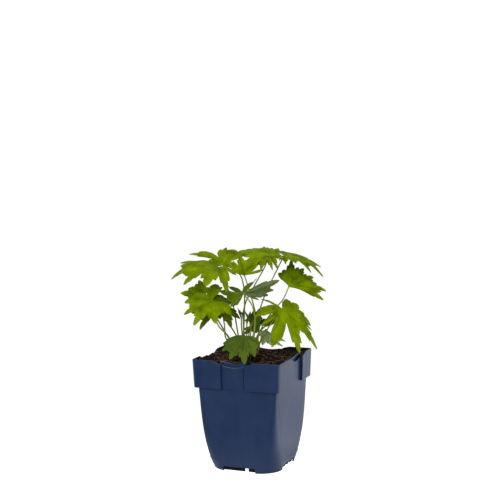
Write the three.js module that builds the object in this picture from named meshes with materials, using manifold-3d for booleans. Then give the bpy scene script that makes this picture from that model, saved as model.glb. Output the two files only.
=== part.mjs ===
// Ligularia przewalskii in a square plastic nursery pot.
// Millimetres, +Z up. The origin is on the ground under the middle of the pot, X runs along the
// pot's front face and Y runs away from it.
import * as THREE from 'three';
import { mergeVertices } from 'three/addons/utils/BufferGeometryUtils.js';
import Module from 'manifold-3d';

const wasm = await Module();
wasm.setup();

// Driving dimensions of the pot
const potHeight = 109;
const rimHalf = 45; // half of the outer width at the rim
const skirtHeight = 27.5;
const skirtFootHalf = 44;
const bodyTopHalf = 40.8;
const bodyFootHalf = 34.8;
const bodyBulge = 3.54; // how much the body's side bows outwards on its way up
const footCornerRadius = 20.4;
const rimCornerRadius = 3;
const wall = 1.1;
const floorUnderside = 4.8;
const floorTop = 6;
const drainHoleRadius = 3;
const drainHoleReach = 19;
const skirtFoot = potHeight - skirtHeight;

// Driving dimensions of the label pocket in each side of the skirt
const pocketWidth = 24.7;
const pocketRecess = 2.7; // how far the pocket's outer panel lies behind the skirt's face at the rim
const pocketSlot = 1.2;
const pocketLedge = 0.8; // how far the panel's foot stands out over the body
const pocketDepth = 2 * wall + pocketSlot;
const lipTop = 104.4;
const lipSag = 2.3;
const dipWidth = 36; // the pocket's back panel dips in the middle
const dipSag = 2.6;
const shoulderWidth = 42; // the skirt's rim falls towards the pocket from either side
const shoulderSag = 5;
const ribDepth = 2.2; // how far a foot rib stands behind the body's face

// Driving dimensions of the soil and the plant
const gap = 0.3; // clearance between neighbours
const soilEdge = 106.2; // height of the soil where it meets the pot
const soilMound = 4.2;
const sideHeap = { x: -36, y: -6, height: 1.8, reach: 11 }; // soil heaped by the left wall
const stemRadius = 0.8;
const stemDepth = 12; // how deep a leaf stalk stands in the soil
const stemSoil = 108;
const bladeThickness = 0.62;
const plantTurn = THREE.MathUtils.degToRad(22.8); // the plant stands turned in its pot

// Sides of the pot: turn about Z, middle of the label pocket, ends of the drain notch, and ends of
// the ribs that close most of it
const sides = [
  { turn: 0, pocket: -2.6, notch: [-18, 15], ribs: [[-19, 3.5], [7.3, 16]] },
  { turn: 90, pocket: 6.5, notch: [-14, 17], ribs: [[-15, 0], [3, 8], [11, 18]] },
  { turn: 180, pocket: -2.6, notch: [-18, 15], ribs: [[-19, 3.5], [7.3, 16]] },
  { turn: 270, pocket: 6.5, notch: [-14, 17], ribs: [[-15, 0], [3, 8], [11, 18]] },
];

const solidFrom = (geometry) => {
  const bare = geometry.index ? geometry.clone() : geometry;
  bare.deleteAttribute('normal');
  bare.deleteAttribute('uv');
  const merged = mergeVertices(bare, 1e-4);
  const mesh = new wasm.Mesh({
    numProp: 3,
    vertProperties: new Float32Array(merged.attributes.position.array),
    triVerts: new Uint32Array(merged.index.array),
  });
  return new wasm.Manifold(mesh);
};

const geometryFrom = (solid) => {
  const mesh = solid.getMesh();
  const geometry = new THREE.BufferGeometry();
  geometry.setAttribute('position', new THREE.BufferAttribute(mesh.vertProperties, 3));
  geometry.setIndex(new THREE.BufferAttribute(mesh.triVerts, 1));
  return geometry;
};

const indexed = (points, triangles) => {
  const geometry = new THREE.BufferGeometry();
  const flat = points.flatMap((p) => [p.x, p.y, p.z]);
  geometry.setAttribute('position', new THREE.Float32BufferAttribute(flat, 3));
  geometry.setIndex(triangles.flat());
  return geometry;
};

// Rounded square of one height, with the same number of points for any size
const cornerSteps = 4;
const ring = (half, radius, heightAt) => {
  const points = [];
  for (let corner = 0; corner < 4; corner += 1) {
    const middle = (corner + 0.5) * (Math.PI / 2);
    const reach = (half - radius) * Math.SQRT2;
    for (let step = 0; step <= cornerSteps; step += 1) {
      const angle = corner * (Math.PI / 2) + (step / cornerSteps) * (Math.PI / 2);
      const x = Math.cos(middle) * reach + Math.cos(angle) * radius;
      const y = Math.sin(middle) * reach + Math.sin(angle) * radius;
      points.push(new THREE.Vector3(x, y, heightAt(x, y)));
    }
  }
  return points;
};

// Closed solid through a run of rings of equal count, from a bottom centre to a top centre
const loft = (bottom, rings, top) => {
  const count = rings[0].length;
  const points = [bottom, ...rings.flat(), top];
  const last = points.length - 1;
  const triangles = [];
  for (let i = 0; i < count; i += 1) {
    const next = (i + 1) % count;
    triangles.push([0, 1 + next, 1 + i]);
    for (let r = 0; r < rings.length - 1; r += 1) {
      const low = 1 + r * count;
      const high = low + count;
      triangles.push([low + i, low + next, high + next], [low + i, high + next, high + i]);
    }
    const end = 1 + (rings.length - 1) * count;
    triangles.push([last, end + i, end + next]);
  }
  return indexed(points, triangles);
};

const bodyHalf = (z) => {
  const rise = 1 - Math.max(0, 1 - z / skirtFoot) ** bodyBulge;
  return bodyFootHalf + (bodyTopHalf - bodyFootHalf) * rise;
};
const skirtHalf = (z) => skirtFootHalf + (rimHalf - skirtFootHalf) * ((z - skirtFoot) / skirtHeight);
const cornerRadius = (z) => {
  const share = Math.min(1, z / skirtFoot);
  return footCornerRadius + (rimCornerRadius - footCornerRadius) * share;
};
const level = (z) => () => z;

// The pocket's outer panel rises from a narrow ledge above the body's wall
const panelFootHalf = bodyTopHalf + pocketLedge;
const panelHalf = (z) => {
  const share = (z - skirtFoot) / skirtHeight;
  return panelFootHalf + (rimHalf - pocketRecess - panelFootHalf) * share;
};

// Block on the front of the pot that follows the panel's slope: its ends along the side, how far
// its outer and inner faces lie behind the panel's face, and its lowest and highest points
const sideBlock = (ends, depths, heights) => {
  const corners = [];
  for (const z of heights) {
    for (const [end, depth] of [[0, 0], [1, 0], [1, 1], [0, 1]]) {
      corners.push(new THREE.Vector3(ends[end], -(panelHalf(z) - depths[depth]), z));
    }
  }
  const triangles = [
    [0, 2, 1], [0, 3, 2], [4, 5, 6], [4, 6, 7],
    [0, 1, 5], [0, 5, 4], [1, 2, 6], [1, 6, 5],
    [2, 3, 7], [2, 7, 6], [3, 0, 4], [3, 4, 7],
  ];
  return solidFrom(indexed(corners, triangles));
};

// Disc on the front of the pot whose lowest arc has the given width and sag under a height
const sideArc = (middle, width, sag, top) => {
  const radius = ((width / 2) ** 2 + sag ** 2) / (2 * sag);
  const disc = new THREE.CylinderGeometry(radius, radius, 16, 96);
  disc.rotateY(Math.PI / 96);
  return solidFrom(disc.translate(middle, -rimHalf, top - sag + radius));
};

const frontBox = (ends, depths, heights) => {
  const box = new THREE.BoxGeometry(ends[1] - ends[0], depths[1] - depths[0], heights[1] - heights[0]);
  const middle = [ends, depths, heights].map(([low, high]) => (low + high) / 2);
  return solidFrom(box.translate(middle[0], middle[1] - bodyFootHalf, middle[2]));
};

const pocketEnds = (side, spare) => [
  side.pocket - pocketWidth / 2 - spare,
  side.pocket + pocketWidth / 2 + spare,
];
const turnedTo = (solid, side) => solid.rotate([0, 0, side.turn]);

const bodyLevels = [2.5, 6, 10, 11, 22, 36, 52, 68];

const makePot = () => {
  const radius = (z) => Math.max(rimCornerRadius - wall, cornerRadius(z) - wall);
  const outer = bodyLevels.map((z) => ring(bodyHalf(z) + (z === 10 ? 0.25 : 0), cornerRadius(z), level(z)));
  const inner = bodyLevels.slice(2).reverse().map((z) => ring(bodyHalf(z) - wall, radius(z), level(z)));
  const shell = loft(
    new THREE.Vector3(0, 0, floorUnderside),
    [
      ring(bodyHalf(floorUnderside) - wall * 1.4, radius(0), level(floorUnderside)),
      ring(bodyFootHalf - wall * 1.4, radius(0), level(0)),
      ring(bodyFootHalf, cornerRadius(0), level(0)),
      ...outer,
      ring(bodyTopHalf, rimCornerRadius, level(skirtFoot)),
      ring(skirtFootHalf, rimCornerRadius, level(skirtFoot)),
      ring(rimHalf, rimCornerRadius, level(potHeight)),
      ring(rimHalf - wall, rimCornerRadius - wall, level(potHeight)),
      ring(skirtFootHalf - wall, rimCornerRadius - wall, level(skirtFoot + wall)),
      ring(bodyTopHalf - wall, rimCornerRadius - wall, level(skirtFoot + wall - 0.4)),
      ...inner,
      ring(bodyHalf(floorTop) - wall, radius(floorTop), level(floorTop)),
    ],
    new THREE.Vector3(0, 0, floorTop),
  );
  let pot = solidFrom(shell);
  for (const side of sides) {
    const across = pocketEnds(side, 0);
    const withEnds = pocketEnds(side, wall);
    const aboveRim = potHeight + 1;
    const panels = sideBlock(withEnds, [0, pocketDepth], [skirtFoot + 0.3, potHeight]);
    const endWalls = sideBlock(withEnds, [0.5 - pocketRecess, 1], [skirtFoot, potHeight]);
    const recess = sideBlock(across, [-8, -0.02], [skirtFoot - 0.5, aboveRim]);
    const slot = sideBlock(across, [wall, wall + pocketSlot], [skirtFoot + 4, aboveRim]);
    const aboveLip = sideBlock(across, [-1, wall + pocketSlot / 2], [skirtFoot + 4, aboveRim]);
    const lipArc = sideArc(side.pocket, pocketWidth, lipSag, lipTop);
    const dip = sideArc(side.pocket, dipWidth, dipSag, potHeight);
    const outside = sideBlock([-rimHalf, rimHalf], [-8, -0.3], [potHeight - 8, aboveRim]);
    const shoulder = outside.intersect(sideArc(side.pocket, shoulderWidth, shoulderSag, potHeight));
    const notch = frontBox(side.notch, [-4, ribDepth + wall + 1], [-1, floorUnderside - 0.1]);
    pot = pot.add(turnedTo(panels.add(endWalls), side));
    for (const cut of [recess, slot, aboveLip.intersect(lipArc), dip, shoulder, notch]) {
      pot = pot.subtract(turnedTo(cut, side));
    }
    for (const ends of side.ribs) {
      const rib = frontBox(ends, [ribDepth, ribDepth + wall], [0.6, floorTop - 0.1]);
      pot = pot.add(turnedTo(rib, side));
    }
  }
  const holes = [[0, 0], [1, 1], [1, -1], [-1, 1], [-1, -1]];
  for (const [x, y] of holes) {
    const hole = new THREE.CylinderGeometry(drainHoleRadius, drainHoleRadius, 6, 16);
    hole.rotateX(Math.PI / 2);
    hole.translate(x * drainHoleReach, y * drainHoleReach, floorTop - 0.5);
    pot = pot.subtract(solidFrom(hole));
  }
  return pot;
};

// Leaves, in the plant's own turned frame. hub is where the stalk meets the blade. lobes go round
// the blade in order: each is the step from the hub to the lobe's tip, then its width, its arch and
// how far out the cut after it ends, all as shares, with null for the leaf's usual value. foot is
// where the stalk leaves the soil, and by lists the places that the stalk passes on its way up.
const leaves = [
  {
    name: 'leaf_upper_left', side: -1, cut: 0.62, arch: 0.14,
    hub: [-32, -8, 195], foot: [-11, 1], by: [[-8, 1, 142], [-8, 1, 176], [-13, -4, 189]],
    lobes: [
      [17, -6, -6, 0.7, null, 0.5],
      [8, -28, -19, 0.8, null, 0.6],
      [-11, -38, -12, 1.2, null, 0.6],
      [-32, -22, -13, 1, null, 0.8],
      [-45, 0, -10, 1, 0.18, 0.86],
      [-36, 18, 4, 1, 0.1, 0.7],
      [-8, 18, 1],
    ],
  },
  {
    name: 'leaf_back_left', side: -1, cut: 0.6, arch: 0.08,
    hub: [-28, 24, 195], foot: [-12, 6], by: [[-16, 8, 139], [-19, 14, 157], [-25, 20, 175]],
    lobes: [
      [11, -14, -3, 0.8],
      [-10, -10, -2, 1, null, 0.3],
      [-33, 8, 9, 0.4, 0.12, 0.2],
      [3, 28, 13, 0.45, 0.02, 0.8],
      [24, 22, 11, 1.2, 0],
    ],
  },
  {
    name: 'leaf_top_centre', side: 1, cut: 0.6, arch: 0.08,
    hub: [17, 16, 203], foot: [-7, 4], by: [[-8, 9, 152], [2, 12, 173], [13, 15, 192]],
    lobes: [
      [-16, -12, -10],
      [-8, -30, -10, 0.8],
      [3, -32, -10, 0.8],
      [8, -26, -10, 0.8],
      [13, -18, 0, 0.7, 0.02, 0.5],
      [11, 3, 2, 0.8, 0.02, 0.9],
      [3, 26, 5, 0.7, 0.02, 0.72],
      [-4, 30, 6, 0.7, 0.02],
      [-26, 22, 3, 1.2, 0.07],
      [-22, -10, -11],
    ],
  },
  {
    name: 'leaf_top_front', small: true, side: -1, cut: 0.6, arch: 0.05,
    hub: [-7, -8, 187], foot: [-2, 0], by: [[2, -1, 131], [3, -1, 148], [-1, -2, 166]],
    lobes: [
      [-19, -20, 9, 0.5],
      [-17, -16, 16, 1, null, 0.5],
      [-4, -2, 18, 1.2],
      [14, -6, 15, 1, null, 0.25],
      [19, -14, 7, 0.4],
    ],
  },
  {
    name: 'leaf_top_right', side: 1, cut: 0.68, arch: 0.08,
    hub: [32, 20, 202], foot: [-3, 6], by: [[5, 10, 142], [13, 13, 165], [25, 16, 189]],
    lobes: [
      [-5, -8, -3, 0.7],
      [1, -18, -6, 0.6],
      [11, -28, -4, 0.7, null, 0.7],
      [25, -28, -13, 0.8, 0.12, 0.78],
      [37, -16, -18, 1, 0.12, 0.8],
      [36, 2, -11, 1, 0.08, 0.62],
      [2, 24, 2, 1, 0.02],
    ],
  },
  {
    name: 'leaf_middle_right', side: -1, cut: 0.62, arch: 0.08,
    hub: [36, 2, 174], foot: [1.5, 7], by: [[8, 10, 130], [19, 7, 148], [30, 4, 161]],
    lobes: [
      [-10, 16, 11],
      [4, 30, 23, 0.7],
      [16, 28, 14, 1, null, 0.66],
      [24, 20, 7, 1, null, 0.7],
      [36, 4, -5, 1, null, 0.85],
      [32, -14, -11],
    ],
  },
  {
    name: 'leaf_lower_right', side: -1, cut: 0.4, arch: 0.12, teeth: 'long',
    hub: [29, -14, 154], foot: [2.5, -4], by: [[11, -10, 129], [22, -14, 146]],
    lobes: [
      [4, 10, 9, 0.8, null, 0.75],
      [27, 2, -16, 0.9, 0.1, 0.85],
      [33, 0, -38, 1, 0.13, 0.55],
      [15, -26, -37, 0.9, 0.1, 0.3],
      [-11, -30, -30, 1.2, 0.1, 0.3],
      [-21, -16, -12, 0.7, null, 0.4],
      [-26, -18, -3, 1.3, null, 0.3],
      [-20, 4, 10, 0.3],
    ],
  },
  {
    name: 'leaf_lower_left', side: -1, cut: 0.68, arch: 0.08,
    hub: [-38, -28, 166], foot: [-14, -8], by: [[-23, -12, 128], [-33, -27, 143]],
    lobes: [
      [19, 14, -3],
      [18, -14, -11, 1, null, 0.75],
      [4, -22, -18, 1, null, 0.62],
      [-17, -16, -20, 1, null, 0.68],
      [-26, -8, -11, 1, null, 0.75],
      [-26, 4, -2, 1, null, 0.3],
      [3, 20, 13, 0.8],
    ],
  },
  {
    name: 'leaf_far_left', small: true, side: -1, cut: 0.6, arch: 0.05,
    hub: [-45, -10, 165], foot: [-15, 1.5], by: [[-28, 0, 133], [-38, 2, 150]],
    lobes: [
      [-14, -4, -4],
      [-23, 0, 6, 1, null, 0.7],
      [-6, 18, 16, 0.6],
    ],
  },
  {
    name: 'leaf_folded_centre', side: 1, cut: 0.6, arch: 0,
    hub: [-8, -14, 170], foot: [1, -13], by: [[0.6, -17, 126], [2.6, -19.5, 145], [0, -18.5, 159]],
    lobes: [
      [-12, -16, -10, 1, null, 0.85],
      [-22, -22, 5, 1, null, 0.25],
      [-16, 0, 9, 0.1, 0.25, 0.15],
      [13, 6, 14, 0.1, 0.25, 0.2],
      [34, -8, 13, 1, null, 0.96],
      [23, 4, -3, 1, null, 0.3],
      [14, -12, -5, 0.5],
    ],
  },
  {
    name: 'leaf_over_rim', teeth: 'blunt', side: -1, cut: 0.8, arch: 0.08,
    hub: [-7, -20, 130], foot: [-4, -10], by: [[-6, -14, 123]],
    lobes: [
      [14, -8, -5, 1, 0.03, 0.9],
      [9, -22, -15, 1, null, 0.72],
      [-1, -27, -21, 1.1, null, 0.7],
      [-15, -24, -17, 1, null, 0.85],
      [-22, -18, -10, 1, 0.05, 0.92],
      [-21, -6, -5, 1, 0, 0.95],
      [-14, 6, -2, 1, 0],
    ],
  },
  {
    name: 'leaf_pale_low', small: true, side: 1, cut: 0.6, arch: 0.08,
    hub: [13, 6, 131], foot: [4.5, 0.5], by: [[8, 2, 122]],
    lobes: [
      [19, 2, -12],
      [16, -4, -16],
      [6, -12, -14],
      [-4, -12, -13],
      [-7, -6, -2],
    ],
  },
  {
    name: 'leaf_dark_left', small: true, side: -1, cut: 0.6, arch: 0.08,
    hub: [-30, -8, 158], foot: [-14.5, -3.5], by: [[-26, -6, 126], [-27, -8, 139]],
    lobes: [
      [18, -2, -12],
      [10, -14, -19],
      [-6, -20, -11],
      [-20, -16, -20],
      [-28, -2, -6],
    ],
  },
  {
    name: 'leaf_young', small: true, side: 1, cut: 0.6, arch: 0,
    hub: [-2, -12, 140], foot: [-5.5, -3], by: [[-4, -8, 126]],
    lobes: [
      [6, -4, -8],
      [9, 0, 15],
      [4, -2, 16],
      [0, -4, 13],
      [-5, -5, 14, 0.5],
    ],
  },
  {
    name: 'leaf_back_low_left', small: true, side: -1, cut: 0.6, arch: 0.08,
    hub: [-38, 26, 152], foot: [-9, 9.5], by: [[-18, 14, 128], [-30, 22, 143]],
    lobes: [
      [14, -12, -6],
      [3, -20, -8],
      [-15, -14, -5],
      [-18, 2, 0],
      [-8, 18, 6],
    ],
  },
  {
    name: 'leaf_back_low_right', small: true, side: 1, cut: 0.6, arch: 0.08,
    hub: [23, 32, 138], foot: [1, 11], by: [[5, 18, 124], [15, 27, 133]],
    lobes: [
      [-10, -14, -5],
      [4, -18, -11],
      [16, -4, -3],
      [13, 18, 7],
      [-3, 18, 10],
    ],
  },
];

// Half of a lobe from the cut beside it to its tip: how far out each point of the edge lies, as a
// share of the lobe's length, and how far from the midrib, as a share of its half width
const toothShapes = {
  short: [[0.8, 0.68], [0.77, 0.44], [0.91, 0.25]],
  long: [[0.62, 0.66], [0.8, 0.5], [0.79, 0.34], [0.93, 0.16]],
  blunt: [[0.88, 0.74], [0.84, 0.54], [0.96, 0.28]],
};
const endWidth = 0.84; // width of the half lobe on either side of the stalk
const endCut = 0.6; // how much of the usual cut's reach is left beside the stalk
const pleatDepth = 0.9; // the blade folds down along each midrib and up along each cut
const stemSides = 6;
const stemSteps = 9;
const knobRadius = 1.25;

const widthOf = (lobe) => lobe[3] ?? 1;
const tipOf = (lobe) => new THREE.Vector3(lobe[0], lobe[1], lobe[2]);

// Places round the blade's edge: where each lies, counted in lobes, and its reach. The midribs, the
// cuts and the two ends are main places, which the blade's inner ring runs through as well.
const edgeOf = (leaf) => {
  const lobes = leaf.lobes;
  const last = lobes.length - 1;
  const teeth = toothShapes[leaf.teeth ?? 'short'];
  const edge = [];
  const add = (place, reach, main = false) => edge.push({ place, reach, main });
  lobes.forEach((lobe, k) => {
    const width = widthOf(lobe);
    const before = k === 0 ? endWidth : width / (width + widthOf(lobes[k - 1]));
    const after = k === last ? endWidth : width / (width + widthOf(lobes[k + 1]));
    const left = Math.min(before, width / 2);
    const right = Math.min(after, width / 2);
    if (k === 0) {
      add(-left, endCut * leaf.cut, true);
    }
    teeth.forEach(([reach, off]) => add(k - left * off, reach));
    add(k, 1, true);
    [...teeth].reverse().forEach(([reach, off]) => add(k + right * off, reach));
    if (k < last) {
      add(k + after, lobe[5] ?? leaf.cut, true);
    } else {
      add(k + right, endCut * leaf.cut, true);
    }
  });
  return edge;
};

// Direction and length of the blade at a place between two lobes
const spokeAt = (leaf, place) => {
  const last = leaf.lobes.length - 1;
  const k = Math.min(Math.max(Math.floor(place), 0), last - 1);
  const share = place - k;
  const from = tipOf(leaf.lobes[k]);
  const to = tipOf(leaf.lobes[k + 1]);
  const fromLength = from.length();
  const toLength = to.length();
  const angle = from.angleTo(to);
  from.normalize().multiplyScalar(Math.sin((1 - share) * angle) / Math.sin(angle));
  to.normalize().multiplyScalar(Math.sin(share * angle) / Math.sin(angle));
  return from.add(to).multiplyScalar(fromLength + (toLength - fromLength) * share);
};

// Way that the blade's upper face looks
const facingOf = (leaf) => {
  const facing = new THREE.Vector3();
  for (let k = 0; k < leaf.lobes.length - 1; k += 1) {
    const from = tipOf(leaf.lobes[k]);
    const to = tipOf(leaf.lobes[k + 1]);
    const span = from.length() * to.length();
    facing.add(from.cross(to).divideScalar(span));
  }
  return facing.normalize().multiplyScalar(leaf.side);
};

const archAt = (leaf, place) => {
  const last = leaf.lobes.length - 1;
  const inside = Math.min(Math.max(place, 0), last);
  const k = Math.min(Math.floor(inside), last - 1);
  const share = THREE.MathUtils.smoothstep(inside - k, 0, 1);
  const from = leaf.lobes[k][4] ?? leaf.arch;
  const to = leaf.lobes[k + 1][4] ?? leaf.arch;
  return from + (to - from) * share;
};

const bladePoint = (leaf, facing, place, reach) => {
  const spoke = spokeAt(leaf, place);
  const lift = 4 * archAt(leaf, place) * spoke.length() * reach * (1 - reach);
  const fromRib = Math.min(Math.abs(place - Math.round(place)), 0.5);
  const grow = Math.min(1, 2 * reach) * (1 - 0.3 * reach);
  const pleat = pleatDepth * Math.cos(2 * Math.PI * fromRib) * grow;
  return spoke.multiplyScalar(reach).addScaledVector(facing, lift - pleat);
};

// Blade as one closed sheet, split into triangles alike on both faces
const bladeSolid = (leaf) => {
  const hub = new THREE.Vector3(...leaf.hub);
  const facing = facingOf(leaf);
  const edge = edgeOf(leaf);
  const outerShares = leaf.small ? [1] : [0.62, 1];
  const points = [hub];
  for (const spot of edge) {
    const shares = spot.main ? [leaf.small ? 0.5 : 0.3, ...outerShares] : outerShares;
    spot.rings = shares.map((share) => {
      const point = bladePoint(leaf, facing, spot.place, spot.reach * share);
      return points.push(point.add(hub)) - 1;
    });
    spot.inner = spot.main ? spot.rings.shift() : null;
  }
  let triangles = [];
  const mains = edge.filter((spot) => spot.main);
  for (let m = 0; m < mains.length - 1; m += 1) {
    const run = edge.slice(edge.indexOf(mains[m]), edge.indexOf(mains[m + 1]) + 1);
    const [near, far] = [mains[m].inner, mains[m + 1].inner];
    const middle = Math.floor((run.length - 1) / 2);
    triangles.push([0, near, far], [near, run[middle].rings[0], far]);
    for (let i = 0; i < run.length - 1; i += 1) {
      const [one, two] = [run[i].rings, run[i + 1].rings];
      triangles.push([i < middle ? near : far, one[0], two[0]]);
      for (let r = 0; r < one.length - 1; r += 1) {
        triangles.push([one[r], one[r + 1], two[r + 1]], [one[r], two[r + 1], two[r]]);
      }
    }
  }
  const cornerNormal = ([a, b, c]) => {
    const one = points[b].clone().sub(points[a]);
    const two = points[c].clone().sub(points[a]);
    return one.cross(two);
  };
  const total = new THREE.Vector3();
  triangles.forEach((triangle) => total.add(cornerNormal(triangle)));
  if (total.dot(facing) < 0) {
    triangles = triangles.map(([a, b, c]) => [a, c, b]);
  }
  const normals = points.map(() => new THREE.Vector3());
  for (const triangle of triangles) {
    const normal = cornerNormal(triangle);
    triangle.forEach((corner) => normals[corner].add(normal));
  }
  const half = bladeThickness / 2;
  const upper = points.map((p, i) => p.clone().addScaledVector(normals[i].normalize(), half));
  const lower = points.map((p, i) => p.clone().addScaledVector(normals[i], -half));
  const count = points.length;
  const border = new Map();
  for (const [a, b, c] of triangles) {
    for (const [from, to] of [[a, b], [b, c], [c, a]]) {
      if (border.has(`${to},${from}`)) {
        border.delete(`${to},${from}`);
      } else {
        border.set(`${from},${to}`, [from, to]);
      }
    }
  }
  const faces = triangles.flatMap(([a, b, c]) => [[a, b, c], [a + count, c + count, b + count]]);
  for (const [from, to] of border.values()) {
    faces.push([to, from, from + count], [to, from + count, to + count]);
  }
  return solidFrom(indexed([...upper, ...lower], faces));
};

// Stalk's middle line, from its foot in the soil to the blade
const stalkLine = (leaf) => {
  const [x, y] = leaf.foot;
  const points = [[x, y, stemSoil - stemDepth], [x, y, stemSoil], ...leaf.by, leaf.hub];
  return new THREE.CatmullRomCurve3(points.map((p) => new THREE.Vector3(...p)), false, 'centripetal');
};

const tube = (line, radius, from, to, steps) => {
  const rings = [];
  for (let i = 0; i <= steps; i += 1) {
    const share = from + (to - from) * (i / steps);
    const middle = line.getPointAt(share);
    const along = line.getTangentAt(share);
    const across = new THREE.Vector3(1, 0, 0).addScaledVector(along, -along.x).normalize();
    const over = along.clone().cross(across);
    const points = [];
    for (let s = 0; s < stemSides; s += 1) {
      const angle = (s / stemSides) * 2 * Math.PI;
      const point = middle.clone().addScaledVector(across, Math.cos(angle) * radius);
      points.push(point.addScaledVector(over, Math.sin(angle) * radius));
    }
    rings.push(points);
  }
  return solidFrom(loft(line.getPointAt(from), rings, line.getPointAt(to)));
};

const makeLeaf = (leaf) => {
  const stalk = tube(stalkLine(leaf), stemRadius, 0, 1, stemSteps);
  const knob = new THREE.IcosahedronGeometry(knobRadius, 0).translate(...leaf.hub);
  return bladeSolid(leaf).add(stalk).add(solidFrom(knob));
};

// Hole that a leaf's stalk stands in, a little wider than the stalk and turned as it is
const stalkHole = (leaf) => {
  const line = stalkLine(leaf);
  const steps = Math.ceil((stemSteps * (stemDepth + 8)) / line.getLength());
  const hole = tube(line, stemRadius + gap, 0, steps / stemSteps, steps);
  const base = new THREE.CylinderGeometry(stemRadius + gap, stemRadius + gap, 2, stemSides);
  base.rotateX(Math.PI / 2).translate(leaf.foot[0], leaf.foot[1], stemSoil - stemDepth + 0.7);
  return hole.add(solidFrom(base));
};

// Height of the soil: level at the pot, a low mound under the plant, a heap by the left wall, and
// coarse lumps all over
const soilHeight = (x, y) => {
  const away = Math.min(1, Math.hypot(x, y) / 38);
  const mound = soilMound * 0.5 * (1 + Math.cos(Math.PI * away));
  const coarse = Math.sin(x * 0.33 + 1.2) * Math.cos(y * 0.29 - 0.6);
  const cross = Math.sin(x * 0.19 - y * 0.27 + 2.1);
  const fromHeap = Math.hypot(x - sideHeap.x, y - sideHeap.y) / sideHeap.reach;
  const heap = sideHeap.height * Math.exp(-(fromHeap ** 2));
  return soilEdge + mound + heap + 0.8 * coarse + 0.6 * cross;
};

const makeSoil = () => {
  const spacing = 5.4;
  const cells = 17;
  const start = (-spacing * cells) / 2;
  const points = [];
  for (const top of [true, false]) {
    for (let j = 0; j <= cells; j += 1) {
      for (let i = 0; i <= cells; i += 1) {
        const x = start + i * spacing;
        const y = start + j * spacing;
        points.push(new THREE.Vector3(x, y, top ? soilHeight(x, y) : 0));
      }
    }
  }
  const row = cells + 1;
  const layer = row * row;
  const triangles = [];
  for (let j = 0; j < cells; j += 1) {
    for (let i = 0; i < cells; i += 1) {
      const a = j * row + i;
      const [b, c, d] = [a + 1, a + row + 1, a + row];
      triangles.push([a, b, c], [a, c, d]);
      triangles.push([a + layer, c + layer, b + layer], [a + layer, d + layer, c + layer]);
    }
  }
  for (let i = 0; i < cells; i += 1) {
    const borders = [[i, i + 1], [cells * row + i + 1, cells * row + i], [(i + 1) * row, i * row]];
    borders.push([i * row + cells, (i + 1) * row + cells]);
    for (const [from, to] of borders) {
      triangles.push([to, from, from + layer], [to, from + layer, to + layer]);
    }
  }
  const heap = solidFrom(indexed(points, triangles));
  const inside = wall + gap;
  const radius = (z) => Math.max(rimCornerRadius - inside, cornerRadius(z) - inside);
  const levels = [floorTop + gap, 22, 52, skirtFoot + wall + gap];
  const filling = loft(
    new THREE.Vector3(0, 0, floorTop + gap),
    [
      ...levels.map((z) => ring(bodyHalf(z) - inside, radius(z), level(z))),
      ring(skirtFootHalf - inside, rimCornerRadius - inside, level(skirtFoot + wall + gap + 0.4)),
      ring(skirtHalf(potHeight + 6) - inside, rimCornerRadius - inside, level(potHeight + 6)),
    ],
    new THREE.Vector3(0, 0, potHeight + 6),
  );
  let soil = heap.intersect(solidFrom(filling));
  for (const side of sides) {
    const clear = sideBlock(
      pocketEnds(side, wall + gap),
      [-8, pocketDepth + gap],
      [skirtFoot - 1 - gap, potHeight + 8],
    );
    soil = soil.subtract(turnedTo(clear, side));
  }
  return soil;
};

const plastic = new THREE.MeshStandardMaterial({ color: 0x2b3a5e, roughness: 0.5 });
const peat = new THREE.MeshStandardMaterial({ color: 0x2e2018, roughness: 0.95 });
const foliage = new THREE.MeshStandardMaterial({ color: 0x6f9417, roughness: 0.6 });
const darkFoliage = new THREE.MeshStandardMaterial({ color: 0x44641f, roughness: 0.6 });
const paleFoliage = new THREE.MeshStandardMaterial({ color: 0x75854c, roughness: 0.7 });

const leafMaterials = {
  leaf_over_rim: darkFoliage,
  leaf_young: darkFoliage,
  leaf_dark_left: darkFoliage,
  leaf_back_low_left: darkFoliage,
  leaf_back_low_right: darkFoliage,
  leaf_pale_low: paleFoliage,
  leaf_folded_centre: paleFoliage,
};

const group = new THREE.Group();
group.name = 'potted_ligularia';

const addNode = (name, solid, material) => {
  const mesh = new THREE.Mesh(geometryFrom(solid), material.clone());
  mesh.name = name;
  group.add(mesh);
};

const turnPlant = (solid) => solid.rotate([0, 0, THREE.MathUtils.radToDeg(plantTurn)]);

addNode('pot', makePot(), plastic);
let soil = makeSoil();
for (const leaf of leaves) {
  soil = soil.subtract(turnPlant(stalkHole(leaf)));
}
addNode('soil', soil, peat);
for (const leaf of leaves) {
  addNode(leaf.name, turnPlant(makeLeaf(leaf)), leafMaterials[leaf.name] ?? foliage);
}

export default group;
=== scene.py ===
import math
import random

import bmesh
import bpy
from mathutils import Matrix, Vector, noise


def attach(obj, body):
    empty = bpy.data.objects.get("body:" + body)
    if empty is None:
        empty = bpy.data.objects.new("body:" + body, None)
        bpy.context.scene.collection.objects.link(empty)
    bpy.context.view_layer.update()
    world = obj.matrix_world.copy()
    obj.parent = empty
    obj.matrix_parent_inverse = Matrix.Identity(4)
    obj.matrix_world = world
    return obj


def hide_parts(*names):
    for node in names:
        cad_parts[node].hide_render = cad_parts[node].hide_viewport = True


# Ligularia przewalskii in a square nursery pot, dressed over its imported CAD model.
# Sizes below are in millimetres, in the same frame as the CAD.
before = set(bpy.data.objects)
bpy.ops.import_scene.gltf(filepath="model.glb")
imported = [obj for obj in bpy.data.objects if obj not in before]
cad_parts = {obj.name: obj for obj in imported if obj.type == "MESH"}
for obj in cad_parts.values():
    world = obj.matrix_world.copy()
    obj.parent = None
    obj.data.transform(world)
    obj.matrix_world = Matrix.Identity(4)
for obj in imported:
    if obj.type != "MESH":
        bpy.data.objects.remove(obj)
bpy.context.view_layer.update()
mm = 0.001
white = (1, 1, 1, 1)
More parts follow.
